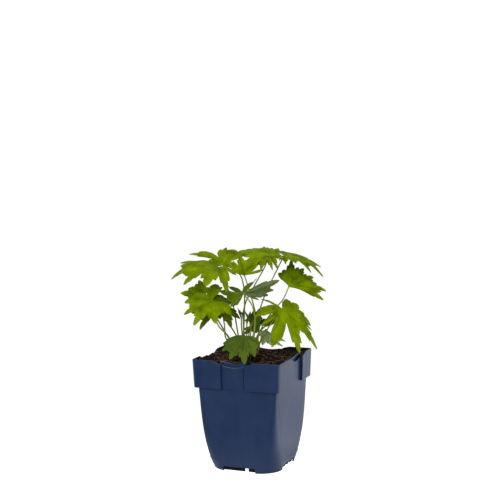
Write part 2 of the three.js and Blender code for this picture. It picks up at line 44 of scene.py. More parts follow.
eased = {"interpolation_type": "SMOOTHSTEP"}  # a range that starts and ends softly


# An sRGB hex colour as linear red, green, blue and alpha
def linear(hexColour):
    shares = [(hexColour >> shift & 255) / 255 for shift in (16, 8, 0)]
    return [s / 12.92 if s <= 0.04045 else ((s + 0.055) / 1.055) ** 2.4 for s in shares] + [1]


# Adds a node. settings are its own values, inputs are socket values or the sockets that feed them,
# and stops are the places and colours of a colour ramp.
def addNode(tree, kind, settings={}, inputs={}, stops=()):
    node = tree.nodes.new("ShaderNode" + kind)
    for name, value in settings.items():
        setattr(node, name, value)
    for socket, value in inputs.items():
        if isinstance(value, bpy.types.NodeSocket):
            tree.links.new(value, node.inputs[socket])
        else:
            node.inputs[socket].default_value = value
    if stops:
        elements = node.color_ramp.elements
        while len(elements) < len(stops):
            elements.new(0.5)
        for element, (place, colour) in zip(elements, stops):
            element.position = place
            element.color = colour
    return node


# A material whose surface is one Principled shader, fed by the colour, roughness and height sockets
# or values that pattern(tree) returns
def makeMaterial(name, pattern, bumpHeight, shading):
    material = bpy.data.materials.new(name)
    material.use_nodes = True
    tree = material.node_tree
    tree.nodes.clear()
    colour, roughness, height = pattern(tree)
    bump = addNode(tree, "Bump", inputs={"Distance": bumpHeight * mm, "Height": height})
    surface = {"Base Color": colour, "Roughness": roughness, "Normal": bump.outputs["Normal"]}
    shader = addNode(tree, "BsdfPrincipled", inputs=surface | shading)
    addNode(tree, "OutputMaterial", inputs={"Surface": shader.outputs["BSDF"]})
    return material


# Noise on the piece's own coordinates, with a grain of a real size
def grain(tree, size, detail=3.0, distortion=0.0, squeeze=(1, 1, 1)):
    coordinates = addNode(tree, "TexCoord")
    mapping = addNode(tree, "Mapping", inputs={"Vector": coordinates.outputs["Object"], "Scale": squeeze})
    settings = {"Vector": mapping.outputs["Vector"], "Scale": 1 / (size * mm), "Detail": detail}
    return addNode(tree, "TexNoise", inputs=settings | {"Distortion": distortion})


# Pattern of a finish whose colour and height follow one grain
def grained(look):
    def pattern(tree):
        patches = grain(tree, look["size"], *look["grain"])
        stops = [(place, linear(colour)) for place, colour in look["tones"]]
        tones = addNode(tree, "ValToRGB", {}, {"Fac": patches.outputs["Fac"]}, stops)
        return tones.outputs["Color"], look["roughness"], patches.outputs["Fac"]
    return pattern


def deselectAll():
    if bpy.context.object and bpy.context.object.mode != "OBJECT":
        bpy.ops.object.mode_set(mode="OBJECT")
    bpy.ops.object.select_all(action="DESELECT")


def selectOnly(*pieces):
    deselectAll()
    for piece in pieces:
        piece.select_set(True)
    bpy.context.view_layer.objects.active = pieces[0]


# Turns every face outwards and leaves edit mode
def faceOutwards():
    bpy.ops.mesh.select_all(action="SELECT")
    bpy.ops.mesh.normals_make_consistent(inside=False)
    bpy.ops.object.mode_set(mode="OBJECT")


# Puts the newest primitive's place into its mesh, and gives it a name
def settle(name):
    piece = bpy.context.object
    bpy.ops.object.transform_apply(location=True, rotation=True, scale=True)
    piece.name = name
    piece.data.name = name
    return piece


def applyModifier(piece, kind, **settings):
    selectOnly(piece)
    modifier = piece.modifiers.new(kind.title(), kind)
    for name, value in settings.items():
        setattr(modifier, name, value)
    bpy.ops.object.modifier_apply(modifier=modifier.name)


def joinPieces(main, others):
    selectOnly(main, *others)
    bpy.ops.object.join()
    return main


def smoothByAngle(piece, degrees):
    selectOnly(piece)
    bpy.ops.object.shade_smooth_by_angle(angle=math.radians(degrees))


# Thin curve of given points and radii, turned into a closed tube
def tubeOf(name, runs, sides):
    curve = bpy.data.curves.new(name, "CURVE")
    curve.dimensions = "3D"
    curve.bevel_depth = mm
    curve.bevel_resolution = sides
    curve.use_fill_caps = True
    curve.resolution_u = 1
    for run in runs:
        spline = curve.splines.new("POLY")
        spline.points.add(len(run) - 1)
        for point, (place, radius) in zip(spline.points, run):
            point.co = (*(Vector(place) * mm), 1)
            point.radius = radius
    tube = bpy.data.objects.new(name, curve)
    bpy.context.scene.collection.objects.link(tube)
    selectOnly(tube)
    bpy.ops.object.convert(target="MESH")
    return bpy.context.object


# The piece moves with the pot and hides the CAD node of the same place
def handOver(piece, slot, *nodes):
    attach(piece, "root")
    if nodes:
        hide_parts(*nodes)


# Camera, matched to the photograph's picture of the pot's corners; angles in degrees
camera = {
    "place": (451.86, -1076.51, 337.39), "azimuth": 22.829, "elevation": 6.208, "roll": -0.92,
    "lens": 87.66, "sensor": 36, "nearest": 10,
}


def placeCamera():
    turn, lift, roll = (math.radians(camera[key]) for key in ("azimuth", "elevation", "roll"))
    back = Vector((math.sin(turn) * math.cos(lift), -math.cos(turn) * math.cos(lift), math.sin(lift)))
    level = (-back).cross(Vector((0, 0, 1))).normalized()
    above = level.cross(-back)
    right = math.cos(roll) * level + math.sin(roll) * above
    up = -math.sin(roll) * level + math.cos(roll) * above
    bpy.ops.object.camera_add()
    viewer = bpy.context.object
    viewer.name = "viewer"
    viewer.data.lens = camera["lens"]
    viewer.data.sensor_width = camera["sensor"]
    viewer.data.clip_start = camera["nearest"] * mm
    axes = Matrix((right, up, back)).transposed().to_4x4()
    viewer.matrix_world = Matrix.Translation(Vector(camera["place"]) * mm) @ axes
    bpy.context.scene.camera = viewer


# White studio, in metres: the room behind the plant is bright and the camera's side of it dim. The
# floor glows strongest on the right, so the pot's right side shows a pale sheen and its front none.
studio = {
    "bright": 0.9, "dim": 0.05,
    "dimFrom": -0.1, "dimTo": -0.95,  # where the room darkens, as shares of the way to the front
    "ceiling": 0.25,  # share of the room's light that is left straight above
    "ceilingFrom": 0.15, "ceilingTo": 0.9,  # where it fades to that, as shares of the way up
    "backdrop": 1.02,  # what the camera sees behind the plant
    "aimHeight": 0.13,
    "lights": [
        {"name": "keyLight", "place": (-0.25, -1.45, 0.8), "size": 1.4, "power": 22},
        {"name": "topLight", "place": (-0.2, 0.1, 1.5), "size": 1.0, "power": 2.5},
        {"name": "sideLight", "place": (1.1, -0.35, 0.35), "size": 1.2, "power": 3},
    ],
    "floorSize": 0.64, "floorDrop": 0.0001,
    "floorColours": (0x6E6E6D, 0x787877), "blotchSize": 400, "floorWave": 0.02, "floorRoughness": 0.8,
    "floorGlow": 0.95,  # lifts the painted floor to the white of the backdrop
    "sideGlow": 2.7,  # the floor's glow where it is strongest
    # half turns round the pot from its front, and the share of that glow there
    "glowTurns": [(0.26, 0), (0.48, 1), (0.57, 0.7), (0.66, 0.34), (0.84, 0.2)],
    # painted shade: the glow dims towards the pot's foot
    "footShade": 0.1, "shadeTo": 0.12,  # share of it left at the pot's foot, and where it is whole
    "nearGlow": 0.36, "nearFrom": 0.04, "nearTo": 0.13,  # a fainter glow that rings the pot's foot
}


def lightStudio():
    world = bpy.data.worlds.new("studio")
    bpy.context.scene.world = world
    world.use_nodes = True
    tree = world.node_tree
    tree.nodes.clear()
    way = addNode(tree, "TexCoord")
    parts = addNode(tree, "SeparateXYZ", inputs={0: way.outputs["Generated"]})
    room = addNode(
        tree, "MapRange", eased,
        {"Value": parts.outputs["Y"], "From Min": studio["dimTo"], "From Max": studio["dimFrom"],
         "To Min": studio["dim"], "To Max": studio["bright"]},
    )
    height = addNode(
        tree, "MapRange", eased,
        {"Value": parts.outputs["Z"], "From Min": studio["ceilingFrom"],
         "From Max": studio["ceilingTo"], "To Min": 1, "To Max": studio["ceiling"]},
    )
    both = addNode(
        tree, "Math", {"operation": "MULTIPLY"},
        {0: room.outputs["Result"], 1: height.outputs["Result"]},
    )
    soft, plain = (
        addNode(tree, "Background", inputs={"Color": white, "Strength": strength})
        for strength in (both.outputs[0], studio["backdrop"])
    )
    path = addNode(tree, "LightPath")
    mixed = addNode(
        tree, "MixShader",
        inputs={0: path.outputs["Is Camera Ray"], 1: soft.outputs[0], 2: plain.outputs[0]},
    )
    addNode(tree, "OutputWorld", inputs={"Surface": mixed.outputs[0]})
    for light in studio["lights"]:
        bpy.ops.object.light_add(type="AREA", location=light["place"])
        lamp = bpy.context.object
        lamp.name = light["name"]
        lamp.data.shape = "DISK"
        lamp.data.size = light["size"]
        lamp.data.energy = light["power"]
        aim = Vector((0, 0, studio["aimHeight"])) - Vector(light["place"])
        lamp.rotation_euler = aim.to_track_quat("-Z", "Y").to_euler()
    bpy.context.scene.view_settings.view_transform = "Standard"


# Painted studio floor: a smooth white that fades into the backdrop
def paintedFloor(tree):
    low, high = studio["floorColours"]
    blotches = grain(tree, studio["blotchSize"])
    shade = addNode(
        tree, "Mix", {"data_type": "RGBA"},
        {0: blotches.outputs["Fac"], 6: linear(low), 7: linear(high)},
    )
    return shade.outputs[2], studio["floorRoughness"], blotches.outputs["Fac"]


def makeFloor():
    deselectAll()
    bpy.ops.mesh.primitive_circle_add(
        vertices=96, radius=studio["floorSize"] / 2, fill_type="NGON",
        location=(0, 0, -studio["floorDrop"]),
    )
    floor = settle("floor")
    finish = makeMaterial("painted_floor", paintedFloor, studio["floorWave"], {"Emission Color": white})
    tree = finish.node_tree
    # The floor's emission is painted light: a glow strongest on the pot's right, painted shade at its foot
    # and a fainter glow ringing it; camera rays also see the floor lifted to white
    place = addNode(tree, "TexCoord")
    parts = addNode(tree, "SeparateXYZ", inputs={0: place.outputs["Object"]})
    forward = addNode(tree, "Math", {"operation": "MULTIPLY"}, {0: parts.outputs["Y"], 1: -1})
    turn = addNode(tree, "Math", {"operation": "ARCTAN2"}, {0: parts.outputs["X"], 1: forward.outputs[0]})
    halfTurns = addNode(tree, "Math", {"operation": "DIVIDE"}, {0: turn.outputs[0], 1: math.pi})
    aroundPot = addNode(
        tree, "ValToRGB", {}, {"Fac": halfTurns.outputs[0]},
        [(halfTurn, (share, share, share, 1)) for halfTurn, share in studio["glowTurns"]],
    )
    reach = addNode(tree, "VectorMath", {"operation": "LENGTH"}, {0: place.outputs["Object"]})
    near = addNode(
        tree, "MapRange", eased,
        {"Value": reach.outputs["Value"], "From Min": studio["nearFrom"],
         "From Max": studio["nearTo"], "To Min": studio["nearGlow"], "To Max": 0},
    )
    shaded = addNode(
        tree, "MapRange", eased,
        {"Value": reach.outputs["Value"], "From Min": studio["nearFrom"],
         "From Max": studio["shadeTo"], "To Min": studio["sideGlow"] * studio["footShade"],
         "To Max": studio["sideGlow"]},
    )
    lit = addNode(
        tree, "Math", {"operation": "MULTIPLY_ADD"},
        {0: aroundPot.outputs["Color"], 1: shaded.outputs["Result"], 2: near.outputs["Result"]},
    )
    path = addNode(tree, "LightPath")
    glow = addNode(
        tree, "Math", {"operation": "MULTIPLY_ADD"},
        {0: path.outputs["Is Camera Ray"], 1: studio["floorGlow"], 2: lit.outputs[0]},
    )
    tree.links.new(glow.outputs[0], tree.nodes["Principled BSDF"].inputs["Emission Strength"])
    floor.data.materials.append(finish)


placeCamera()
lightStudio()
makeFloor()
print("camera, lights and floor stand")


# Pot: a square nursery container of one thin wall, with a stepped skirt, a label pocket in each
# side, and drain notches with ribs at the foot
pot = {
    "height": 109, "rimHalf": 45, "skirtHeight": 27.5, "skirtFootHalf": 44,
    "bodyTopHalf": 40.8, "bodyFootHalf": 34.8, "bodyBulge": 3.54,
    "footCorner": 20.4, "rimCorner": 3, "wall": 1.1, "underside": 4.8, "floorTop": 6,
    "levels": [2.5, 5, 8.5, 9.6, 10.4, 11.5, 15, 20, 26, 33, 41, 50, 60, 70, 77],
    "bandFrom": 9, "bandTo": 11, "bandProud": 0.25,  # a line round the body, over the foot
    "tuckTo": 4, "tuck": 0.3,  # the foot draws in below this height
    "footWall": 1.4, "landWall": 1.2,  # width of the land that it stands on, in walls
    "stepFall": 0.4,  # slope of the ledge inside the skirt's foot
    "drainRadius": 3, "drainReach": 19, "drainDepth": 6, "drainMiddle": 5.5,
    "pocketWidth": 24.7, "pocketRecess": 2.7, "pocketSlot": 1.2, "pocketLedge": 0.8, "slotFoot": 4,
    "lipTop": 104.4, "lipSag": 2.3, "lipBead": 0.5, "beadLift": 0.35, "dipWidth": 36, "dipSag": 2.6,
    "shoulderWidth": 42, "shoulderSag": 5, "shoulderStep": 0.3,
    "grooveFrom": 99, "grooveTo": 100.1, "grooveDepth": 0.6,  # a line across the pocket
    "channelFrom": 2.5, "channelTo": 1.1,  # a channel beside the pocket's far end, measured from it
    "channelTop": 1.2,  # how far under the lip it stops
    "ribDepth": 2.2, "ribFoot": 0.6, "cornerSteps": 14, "flatSteps": 6,
    "edgeRound": 0.4, "cutRound": 0.25, "cutAngle": 50, "smoothTo": 32,
}
# Turn about Z, middle of the pocket, ends of the drain notch and of the ribs in it. The back
# repeats the front, and the left side the right one.
frontSide = {"turn": 0, "pocket": -2.6, "notch": (-18, 15), "ribs": [(-19, 3.5), (7.3, 16)], "lined": True}
rightSide = {"turn": 90, "pocket": 6.5, "notch": (-14, 17), "ribs": [(-15, 0), (3, 8), (11, 18)]}
potSides = [frontSide, rightSide, frontSide | {"turn": 180}, rightSide | {"turn": 270}]
skirtFoot = pot["height"] - pot["skirtHeight"]


def bodyHalf(z):
    rise = 1 - max(0, 1 - z / skirtFoot) ** pot["bodyBulge"]
    return pot["bodyFootHalf"] + (pot["bodyTopHalf"] - pot["bodyFootHalf"]) * rise


def skirtHalf(z):
    share = (z - skirtFoot) / pot["skirtHeight"]
    return pot["skirtFootHalf"] + (pot["rimHalf"] - pot["skirtFootHalf"]) * share


def panelHalf(z):
    share = (z - skirtFoot) / pot["skirtHeight"]
    foot = pot["bodyTopHalf"] + pot["pocketLedge"]
    return foot + (pot["rimHalf"] - pot["pocketRecess"] - foot) * share


def cornerRadius(z):
    share = min(1, z / skirtFoot)
    return pot["footCorner"] + (pot["rimCorner"] - pot["footCorner"]) * share


# Point of a rounded square, counted round it, with steps round the corner and along the flat
def squarePoint(spot, half, radius):
    perSide = pot["cornerSteps"] + pot["flatSteps"]
    corner, step = divmod(spot, perSide)
    turn = corner * math.pi / 2
    reach = half - radius
    if step <= pot["cornerSteps"]:
        angle = step / pot["cornerSteps"] * math.pi / 2
        place = Vector((reach + radius * math.cos(angle), reach + radius * math.sin(angle)))
    else:
        share = (step - pot["cornerSteps"]) / pot["flatSteps"]
        place = Vector((reach - 2 * reach * share, half))
    return Vector((
        place.x * math.cos(turn) - place.y * math.sin(turn),
        place.x * math.sin(turn) + place.y * math.cos(turn),
    ))


# Outer half width, corner radius and height of each ring, from the underside round to the floor
def shellRings():
    wall = pot["wall"]
    bead = pot["edgeRound"]
    rimCorner = pot["rimCorner"]
    innerCorner = rimCorner - wall
    footCorner = pot["footCorner"] - wall
    rings = [
        (bodyHalf(pot["underside"]) - wall * pot["footWall"], footCorner, pot["underside"]),
        (pot["bodyFootHalf"] - wall * pot["footWall"], footCorner, 0.2),
        (pot["bodyFootHalf"] - wall * pot["landWall"], footCorner, 0),
        (pot["bodyFootHalf"] - bead, cornerRadius(0), 0),
        (pot["bodyFootHalf"], cornerRadius(0), bead),
    ]
    for z in pot["levels"]:
        proud = pot["bandProud"] if pot["bandFrom"] < z < pot["bandTo"] else 0
        if z < pot["tuckTo"]:
            proud = -pot["tuck"]
        rings.append((bodyHalf(z) + proud, cornerRadius(z), z))
    rings += [
        (pot["bodyTopHalf"], rimCorner, skirtFoot),
        (pot["skirtFootHalf"] - bead, rimCorner, skirtFoot),
        (pot["skirtFootHalf"], rimCorner, skirtFoot + bead),
        *((skirtHalf(z), rimCorner, z) for z in (90, 100)),
        (pot["rimHalf"], rimCorner, pot["height"] - bead),
        (pot["rimHalf"] - bead, rimCorner, pot["height"]),
        (pot["rimHalf"] - wall + bead, innerCorner, pot["height"]),
        (pot["rimHalf"] - wall, innerCorner, pot["height"] - bead),
        (pot["skirtFootHalf"] - wall, innerCorner, skirtFoot + wall),
        (pot["bodyTopHalf"] - wall, innerCorner, skirtFoot + wall - pot["stepFall"]),
    ]
    for z in reversed(pot["levels"][4:]):
        rings.append((bodyHalf(z) - wall, max(innerCorner, cornerRadius(z) - wall), z))
    rings.append((bodyHalf(pot["floorTop"]) - wall, footCorner, pot["floorTop"]))
    return rings


def makeShell():
    count = 4 * (pot["cornerSteps"] + pot["flatSteps"])
    rings = shellRings()
    deselectAll()
    bpy.ops.mesh.primitive_circle_add(vertices=count, radius=rings[0][0] * mm)
    shell = settle("pot_shell")
    bpy.ops.object.mode_set(mode="EDIT")
    mesh = bmesh.from_edit_mesh(shell.data)
    spot = mesh.verts.layers.int.new("spot")
    for vert in mesh.verts:
        vert[spot] = vert.index
    for number, (half, radius, z) in enumerate(rings):
        if number:
            bpy.ops.mesh.extrude_region_move()
            mesh = bmesh.from_edit_mesh(shell.data)
            spot = mesh.verts.layers.int["spot"]
        for vert in mesh.verts:
            if vert.select:
                place = squarePoint(vert[spot], half, radius)
                vert.co = Vector((place.x, place.y, z)) * mm
    bpy.ops.mesh.select_all(action="SELECT")
    bpy.ops.mesh.fill_holes(sides=0)
    faceOutwards()
    return shell


def footHalf(z):
    return pot["bodyFootHalf"]


# Block on the pot's front. Its depths are measured in from a face of the pot, and it leans with it.
def sideBlock(name, ends, depths, heights, faceAt=panelHalf):
    deselectAll()
    bpy.ops.mesh.primitive_cube_add(size=1)
    block = settle(name)
    for vert in block.data.vertices:
        z = heights[vert.co.z > 0]
        vert.co = Vector((ends[vert.co.x > 0], depths[vert.co.y > 0] - faceAt(z), z)) * mm
    return block


def arcRadius(width, sag):
    return ((width / 2) ** 2 + sag**2) / (2 * sag)


# Disc across the pot's front whose lowest arc has this width and sag under a height
def sideArc(name, middle, width, sag, top):
    radius = arcRadius(width, sag)
    deselectAll()
    bpy.ops.mesh.primitive_cylinder_add(
        vertices=360, radius=radius * mm, depth=16 * mm, rotation=(math.pi / 2, 0, 0),
        location=(middle * mm, -pot["rimHalf"] * mm, (top - sag + radius) * mm),
    )
    return settle(name)


# Cuts or adds to a piece with a tool that is made on the front and turned to its side
def combine(piece, tool, operation, turn):
    tool.data.transform(Matrix.Rotation(math.radians(turn), 4, "Z"))
    applyModifier(piece, "BOOLEAN", object=tool, operation=operation, solver="EXACT")
    bpy.data.objects.remove(tool)


# Rounded bead along the pocket's sagging lip. It is joined after the edges are rounded and never by
# a boolean, which then loses the whole shell now and then.
def lipBead(side):
    radius = arcRadius(pot["pocketWidth"], pot["lipSag"])
    half = pot["pocketWidth"] / 2 + pot["wall"] / 2
    steps = 12
    run = []
    for step in range(2 * steps + 1):
        x = half * (step / steps - 1)
        z = pot["lipTop"] + pot["beadLift"] - pot["lipSag"] + radius - math.sqrt(radius**2 - x**2)
        run.append(((side["pocket"] + x, pot["lipBead"] / 3 - panelHalf(z), z), pot["lipBead"]))
    bead = tubeOf("bead", [run], 2)
    bead.data.transform(Matrix.Rotation(math.radians(side["turn"]), 4, "Z"))
    return bead


# Cuts one side's pocket, slot, sagging lip and rim, groove, channel and drain notch, and adds its
# panel and ribs. Most blocks end a little past or short of the wall's faces, so few share a plane.
def cutSide(shell, side):
    wall = pot["wall"]
    turn = side["turn"]
    slot = pot["pocketSlot"]
    near, far = side["pocket"] - pot["pocketWidth"] / 2, side["pocket"] + pot["pocketWidth"] / 2
    across, withEnds = (near, far), (near - wall, far + wall)
    above = pot["height"] + 1
    depth = 2 * wall + slot
    panels = sideBlock("panels", withEnds, (0, depth), (skirtFoot + 0.3, pot["height"] - 0.05))
    heights = (skirtFoot + 0.1, pot["height"] - 0.1)
    ends = sideBlock("ends", withEnds, (0.5 - pot["pocketRecess"], 1), heights)
    combine(shell, panels, "UNION", turn)
    combine(shell, ends, "UNION", turn)
    recess = sideBlock("recess", across, (-8, -0.02), (skirtFoot - 0.5, above))
    slotFoot = skirtFoot + pot["slotFoot"]
    opening = sideBlock("opening", across, (wall, wall + slot), (slotFoot, above))
    lip = sideBlock("lip", across, (-1, wall + slot / 2), (slotFoot, above))
    arc = sideArc("arc", side["pocket"], pot["pocketWidth"], pot["lipSag"], pot["lipTop"])
    combine(lip, arc, "INTERSECT", 0)
    dip = sideArc("dip", side["pocket"], pot["dipWidth"], pot["dipSag"], pot["height"])
    rim = (-pot["rimHalf"] - 1, pot["rimHalf"] + 1)
    shoulder = sideBlock("shoulder", rim, (-8, -pot["shoulderStep"]), (pot["height"] - 8, above))
    fall = sideArc("fall", side["pocket"], pot["shoulderWidth"], pot["shoulderSag"], pot["height"])
    combine(shoulder, fall, "INTERSECT", 0)
    behind = pot["ribDepth"] + wall
    under = (-1, pot["underside"] - 0.1)
    notch = sideBlock("notch", side["notch"], (-4, behind + 1), under, footHalf)
    tools = [recess, opening, lip, dip, shoulder, notch]
    if "lined" in side:
        depths = (-1, pot["grooveDepth"])
        tools.append(sideBlock("groove", across, depths, (pot["grooveFrom"], pot["grooveTo"])))
        beside = (far - pot["channelFrom"], far - pot["channelTo"])
        upright = (skirtFoot - 1, pot["lipTop"] - pot["channelTop"])
        tools.append(sideBlock("channel", beside, depths, upright))
    for tool in tools:
        combine(shell, tool, "DIFFERENCE", turn)
    for ends in side["ribs"]:
        heights = (pot["ribFoot"], pot["floorTop"] - 0.1)
        rib = sideBlock("rib", ends, (pot["ribDepth"], behind), heights, footHalf)
        combine(shell, rib, "UNION", turn)


# Thin-walled injection-moulded polypropylene: a satin navy, slightly cloudy from recycled stock,
# with faint upright streaks and waves where the melt ran up the wall, and a finely etched skin
potPlastic = {
    "navy": 0x172D50, "faded": 0x1C345C, "navyTo": 0.12, "fadedFrom": 0.42,
    "cloudSize": 21, "cloudSpan": (0.3, 0.7), "streakSize": 7, "streakStretch": 0.06,
    "skinSize": 1.6, "skinShare": 0.02,  # the real etching is finer, but would not show
    "wave": 0.15, "ior": 1.49, "gloss": 0.5, "roughness": (0.29, 0.36),
}


def mouldedNavyPlastic(tree):
    clouds = grain(tree, potPlastic["cloudSize"], 4, 0.6)
    streaks = grain(tree, potPlastic["streakSize"], 2, 0, (1, 1, potPlastic["streakStretch"]))
    skin = grain(tree, potPlastic["skinSize"], 2)
    uneven = addNode(
        tree, "Math", {"operation": "MULTIPLY"},
        {0: clouds.outputs["Fac"], 1: streaks.outputs["Fac"]},
    )
    body = addNode(
        tree, "ValToRGB", {}, {"Fac": uneven.outputs[0]},
        [(potPlastic["navyTo"], linear(potPlastic["navy"])),
         (potPlastic["fadedFrom"], linear(potPlastic["faded"]))],
    )
    spans = potPlastic["cloudSpan"] + potPlastic["roughness"]
    ends = dict(zip(("From Min", "From Max", "To Min", "To Max"), spans))
    rough = addNode(tree, "MapRange", {}, {"Value": clouds.outputs["Fac"]} | ends)
    height = addNode(
        tree, "Math", {"operation": "MULTIPLY_ADD"},
        {0: skin.outputs["Fac"], 1: potPlastic["skinShare"], 2: streaks.outputs["Fac"]},
    )
    return body.outputs["Color"], rough.outputs["Result"], height.outputs[0]


# The same plastic inside the rim and the foot, dull and near black: painted shade under the floor, and
# painted shade with a dried film of peat on the wall's inside above the soil
soilAndShadeWall = {
    "size": 4, "grain": (5, 0.5), "tones": [(0.4, 0x11141D), (0.65, 0x241D1A)],
    "bump": 0.1, "gloss": 0.05, "roughness": 0.75,
    "inwards": 0.4,  # a face counts as the wall's inside if it turns in by more than this share
    "within": 0.9,  # a face counts as under the floor if it lies in by this share of the wall
}


# Gives the painted-shade finish to the inner side of the wall above the soil and to what lies inside the
# foot's outline under the floor
def shadeAndSoilInside(shell):
    flat = pot["bodyFootHalf"] - pot["footCorner"]
    within = pot["footCorner"] - pot["wall"] * soilAndShadeWall["within"]
    for face in shell.data.polygons:
        middle = face.center / mm
        top = max(shell.data.vertices[index].co.z for index in face.vertices) / mm
        inwards = -face.normal.xy.dot(middle.xy.normalized())
        fromFlat = math.hypot(max(0, abs(middle.x) - flat), max(0, abs(middle.y) - flat))
        overSoil = top > soil["edge"] and inwards > soilAndShadeWall["inwards"]
        underFloor = middle.z < pot["floorTop"] and fromFlat < within
        if overSoil or underFloor:
            face.material_index = 1


def makePot():
    shell = makeShell()
    for side in potSides:
        cutSide(shell, side)
    for x, y in [(0, 0), (1, 1), (1, -1), (-1, 1), (-1, -1)]:
        deselectAll()
        bpy.ops.mesh.primitive_cylinder_add(
            vertices=40, radius=pot["drainRadius"] * mm, depth=pot["drainDepth"] * mm,
            location=(x * pot["drainReach"] * mm, y * pot["drainReach"] * mm, pot["drainMiddle"] * mm),
        )
        combine(shell, settle("drain"), "DIFFERENCE", 0)
    shell.data.attributes.remove(shell.data.attributes["spot"])
    applyModifier(
        shell, "BEVEL", width=pot["cutRound"] * mm, segments=2, limit_method="ANGLE",
        angle_limit=math.radians(pot["cutAngle"]), use_clamp_overlap=True,
    )
    joinPieces(shell, [lipBead(side) for side in potSides])
    smoothByAngle(shell, pot["smoothTo"])
    shell.data.materials.clear()
    for name, pattern, bumpHeight, gloss in (
        ("moulded_navy_plastic", mouldedNavyPlastic, potPlastic["wave"], potPlastic["gloss"]),
        ("soiled_and_shaded_navy_plastic", grained(soilAndShadeWall), soilAndShadeWall["bump"], soilAndShadeWall["gloss"]),
    ):
        shading = {"IOR": potPlastic["ior"], "Specular IOR Level": gloss}
        shell.data.materials.append(makeMaterial(name, pattern, bumpHeight, shading))
    shadeAndSoilInside(shell)
    handOver(shell, "pot_plastic", "pot")


# Soil: bark-and-peat compost, level with the pot's lip and mounded under the plant
soil = {
    "edge": 106.2, "mound": 4.2, "moundReach": 38, "gap": 0.3, "cells": 170, "depth": 18,
    "wallAt": 105,  # height at which the wall's inside is measured
    "heapPlace": (-37, -12), "heapHeight": 3.0, "heapReach": 11, "swell": 0.8, "crossSwell": 0.6,
    "lumpSize": 5.5, "lumpHeight": 1.1, "crumbSize": 1.7, "crumbHeight": 0.5,
    "reach": 41, "crumbs": 950, "grits": 9, "crumbSizes": (0.5, 0.6, 0.8, 1.0, 1.5), "crumbClear": 1.3,
    "crumbCrack": 0.35, "crumbCracks": 1.7, "crumbLift": 0.12,
    "fibres": 150, "straws": 16, "fibreSteps": 6, "fibreClear": 1.03, "seed": 7,
}


def soilHeight(x, y):
    away = min(1, math.hypot(x, y) / soil["moundReach"])
    mound = soil["mound"] * 0.5 * (1 + math.cos(math.pi * away))
    fromHeap = math.dist((x, y), soil["heapPlace"]) / soil["heapReach"]
    mound += soil["heapHeight"] * math.exp(-(fromHeap**2))
    coarse = math.sin(x * 0.33 + 1.2) * math.cos(y * 0.29 - 0.6)
    cross = math.sin(x * 0.19 - y * 0.27 + 2.1)
    return soil["edge"] + mound + soil["swell"] * coarse + soil["crossSwell"] * cross


# Height with the lumps and crumbs that the coarse form lacks
def roughSoilHeight(x, y):
    lump = noise.noise(Vector((x, y, 3.0)) / soil["lumpSize"])
    crumb = noise.noise(Vector((x, y, 9.0)) / soil["crumbSize"])
    return soilHeight(x, y) + soil["lumpHeight"] * lump + soil["crumbHeight"] * crumb


# Keeps a point of the soil inside the wall and off the backs of the label pockets
def insidePot(x, y):
    inset = pot["wall"] + soil["gap"]
    half = skirtHalf(soil["wallAt"]) - inset
    x, y = max(-half, min(half, x)), max(-half, min(half, y))
    back = panelHalf(soil["wallAt"]) - 2 * pot["wall"] - pot["pocketSlot"] - soil["gap"]
    for side in potSides:
        turned = Matrix.Rotation(math.radians(-side["turn"]), 2) @ Vector((x, y))
        if abs(turned.x - side["pocket"]) < pot["pocketWidth"] / 2 + inset and turned.y < -back:
            turned.y = -back
            x, y = Matrix.Rotation(math.radians(side["turn"]), 2) @ turned
    return x, y


def makeCompost():
    half = skirtHalf(soil["wallAt"]) - pot["wall"] - soil["gap"]
    deselectAll()
    bpy.ops.mesh.primitive_grid_add(
        x_subdivisions=soil["cells"], y_subdivisions=soil["cells"], size=2 * half * mm
    )
    heap = settle("compost")
    for vert in heap.data.vertices:
        x, y = insidePot(vert.co.x / mm, vert.co.y / mm)
        vert.co = Vector((x, y, roughSoilHeight(x, y))) * mm
    bpy.ops.object.mode_set(mode="EDIT")
    bpy.ops.mesh.select_mode(type="EDGE")
    bpy.ops.mesh.select_all(action="DESELECT")
    bpy.ops.mesh.select_non_manifold()
    bpy.ops.mesh.extrude_region_move(TRANSFORM_OT_translate={"value": (0, 0, -soil["depth"] * mm)})
    bpy.ops.mesh.fill()
    faceOutwards()
    return heap


# Crumbs of one finish: one cracked lump, copied and squashed
def scatterCrumbs(chance, finish, count):
    deselectAll()
    bpy.ops.mesh.primitive_ico_sphere_add(subdivisions=1, radius=mm)
    lump = settle("crumb")
    lump.data.materials.append(finish)
    for vert in lump.data.vertices:
        vert.co *= 1 + soil["crumbCrack"] * noise.noise(vert.co / mm * soil["crumbCracks"])
    crumbs = []
    for _ in range(count):
        size = chance.choice(soil["crumbSizes"]) * chance.uniform(0.7, 1.2)
        clear = 1 + size * soil["crumbClear"] / soil["reach"]  # keeps a crumb's own size off the walls
        x, y = insidePot(*(clear * chance.uniform(-soil["reach"], soil["reach"]) for _ in range(2)))
        x, y = x / clear, y / clear
        crumb = lump.copy()
        crumb.data = lump.data.copy()
        bpy.context.scene.collection.objects.link(crumb)
        turn = Matrix.Rotation(chance.uniform(0, 6.3), 4, (chance.uniform(-1, 1), 1, chance.uniform(-1, 1)))
        flattened = (size, size * chance.uniform(0.5, 1.2), size * chance.uniform(0.35, 0.7), 1)
        shape = Matrix.Diagonal(flattened)
        lie = Matrix.Rotation(chance.uniform(0, 6.3), 4, "Z")
        lift = Vector((x, y, roughSoilHeight(x, y) + size * soil["crumbLift"])) * mm
        crumb.data.transform(Matrix.Translation(lift) @ lie @ shape @ turn)
        crumbs.append(crumb)
    bpy.data.objects.remove(lump)
    return crumbs


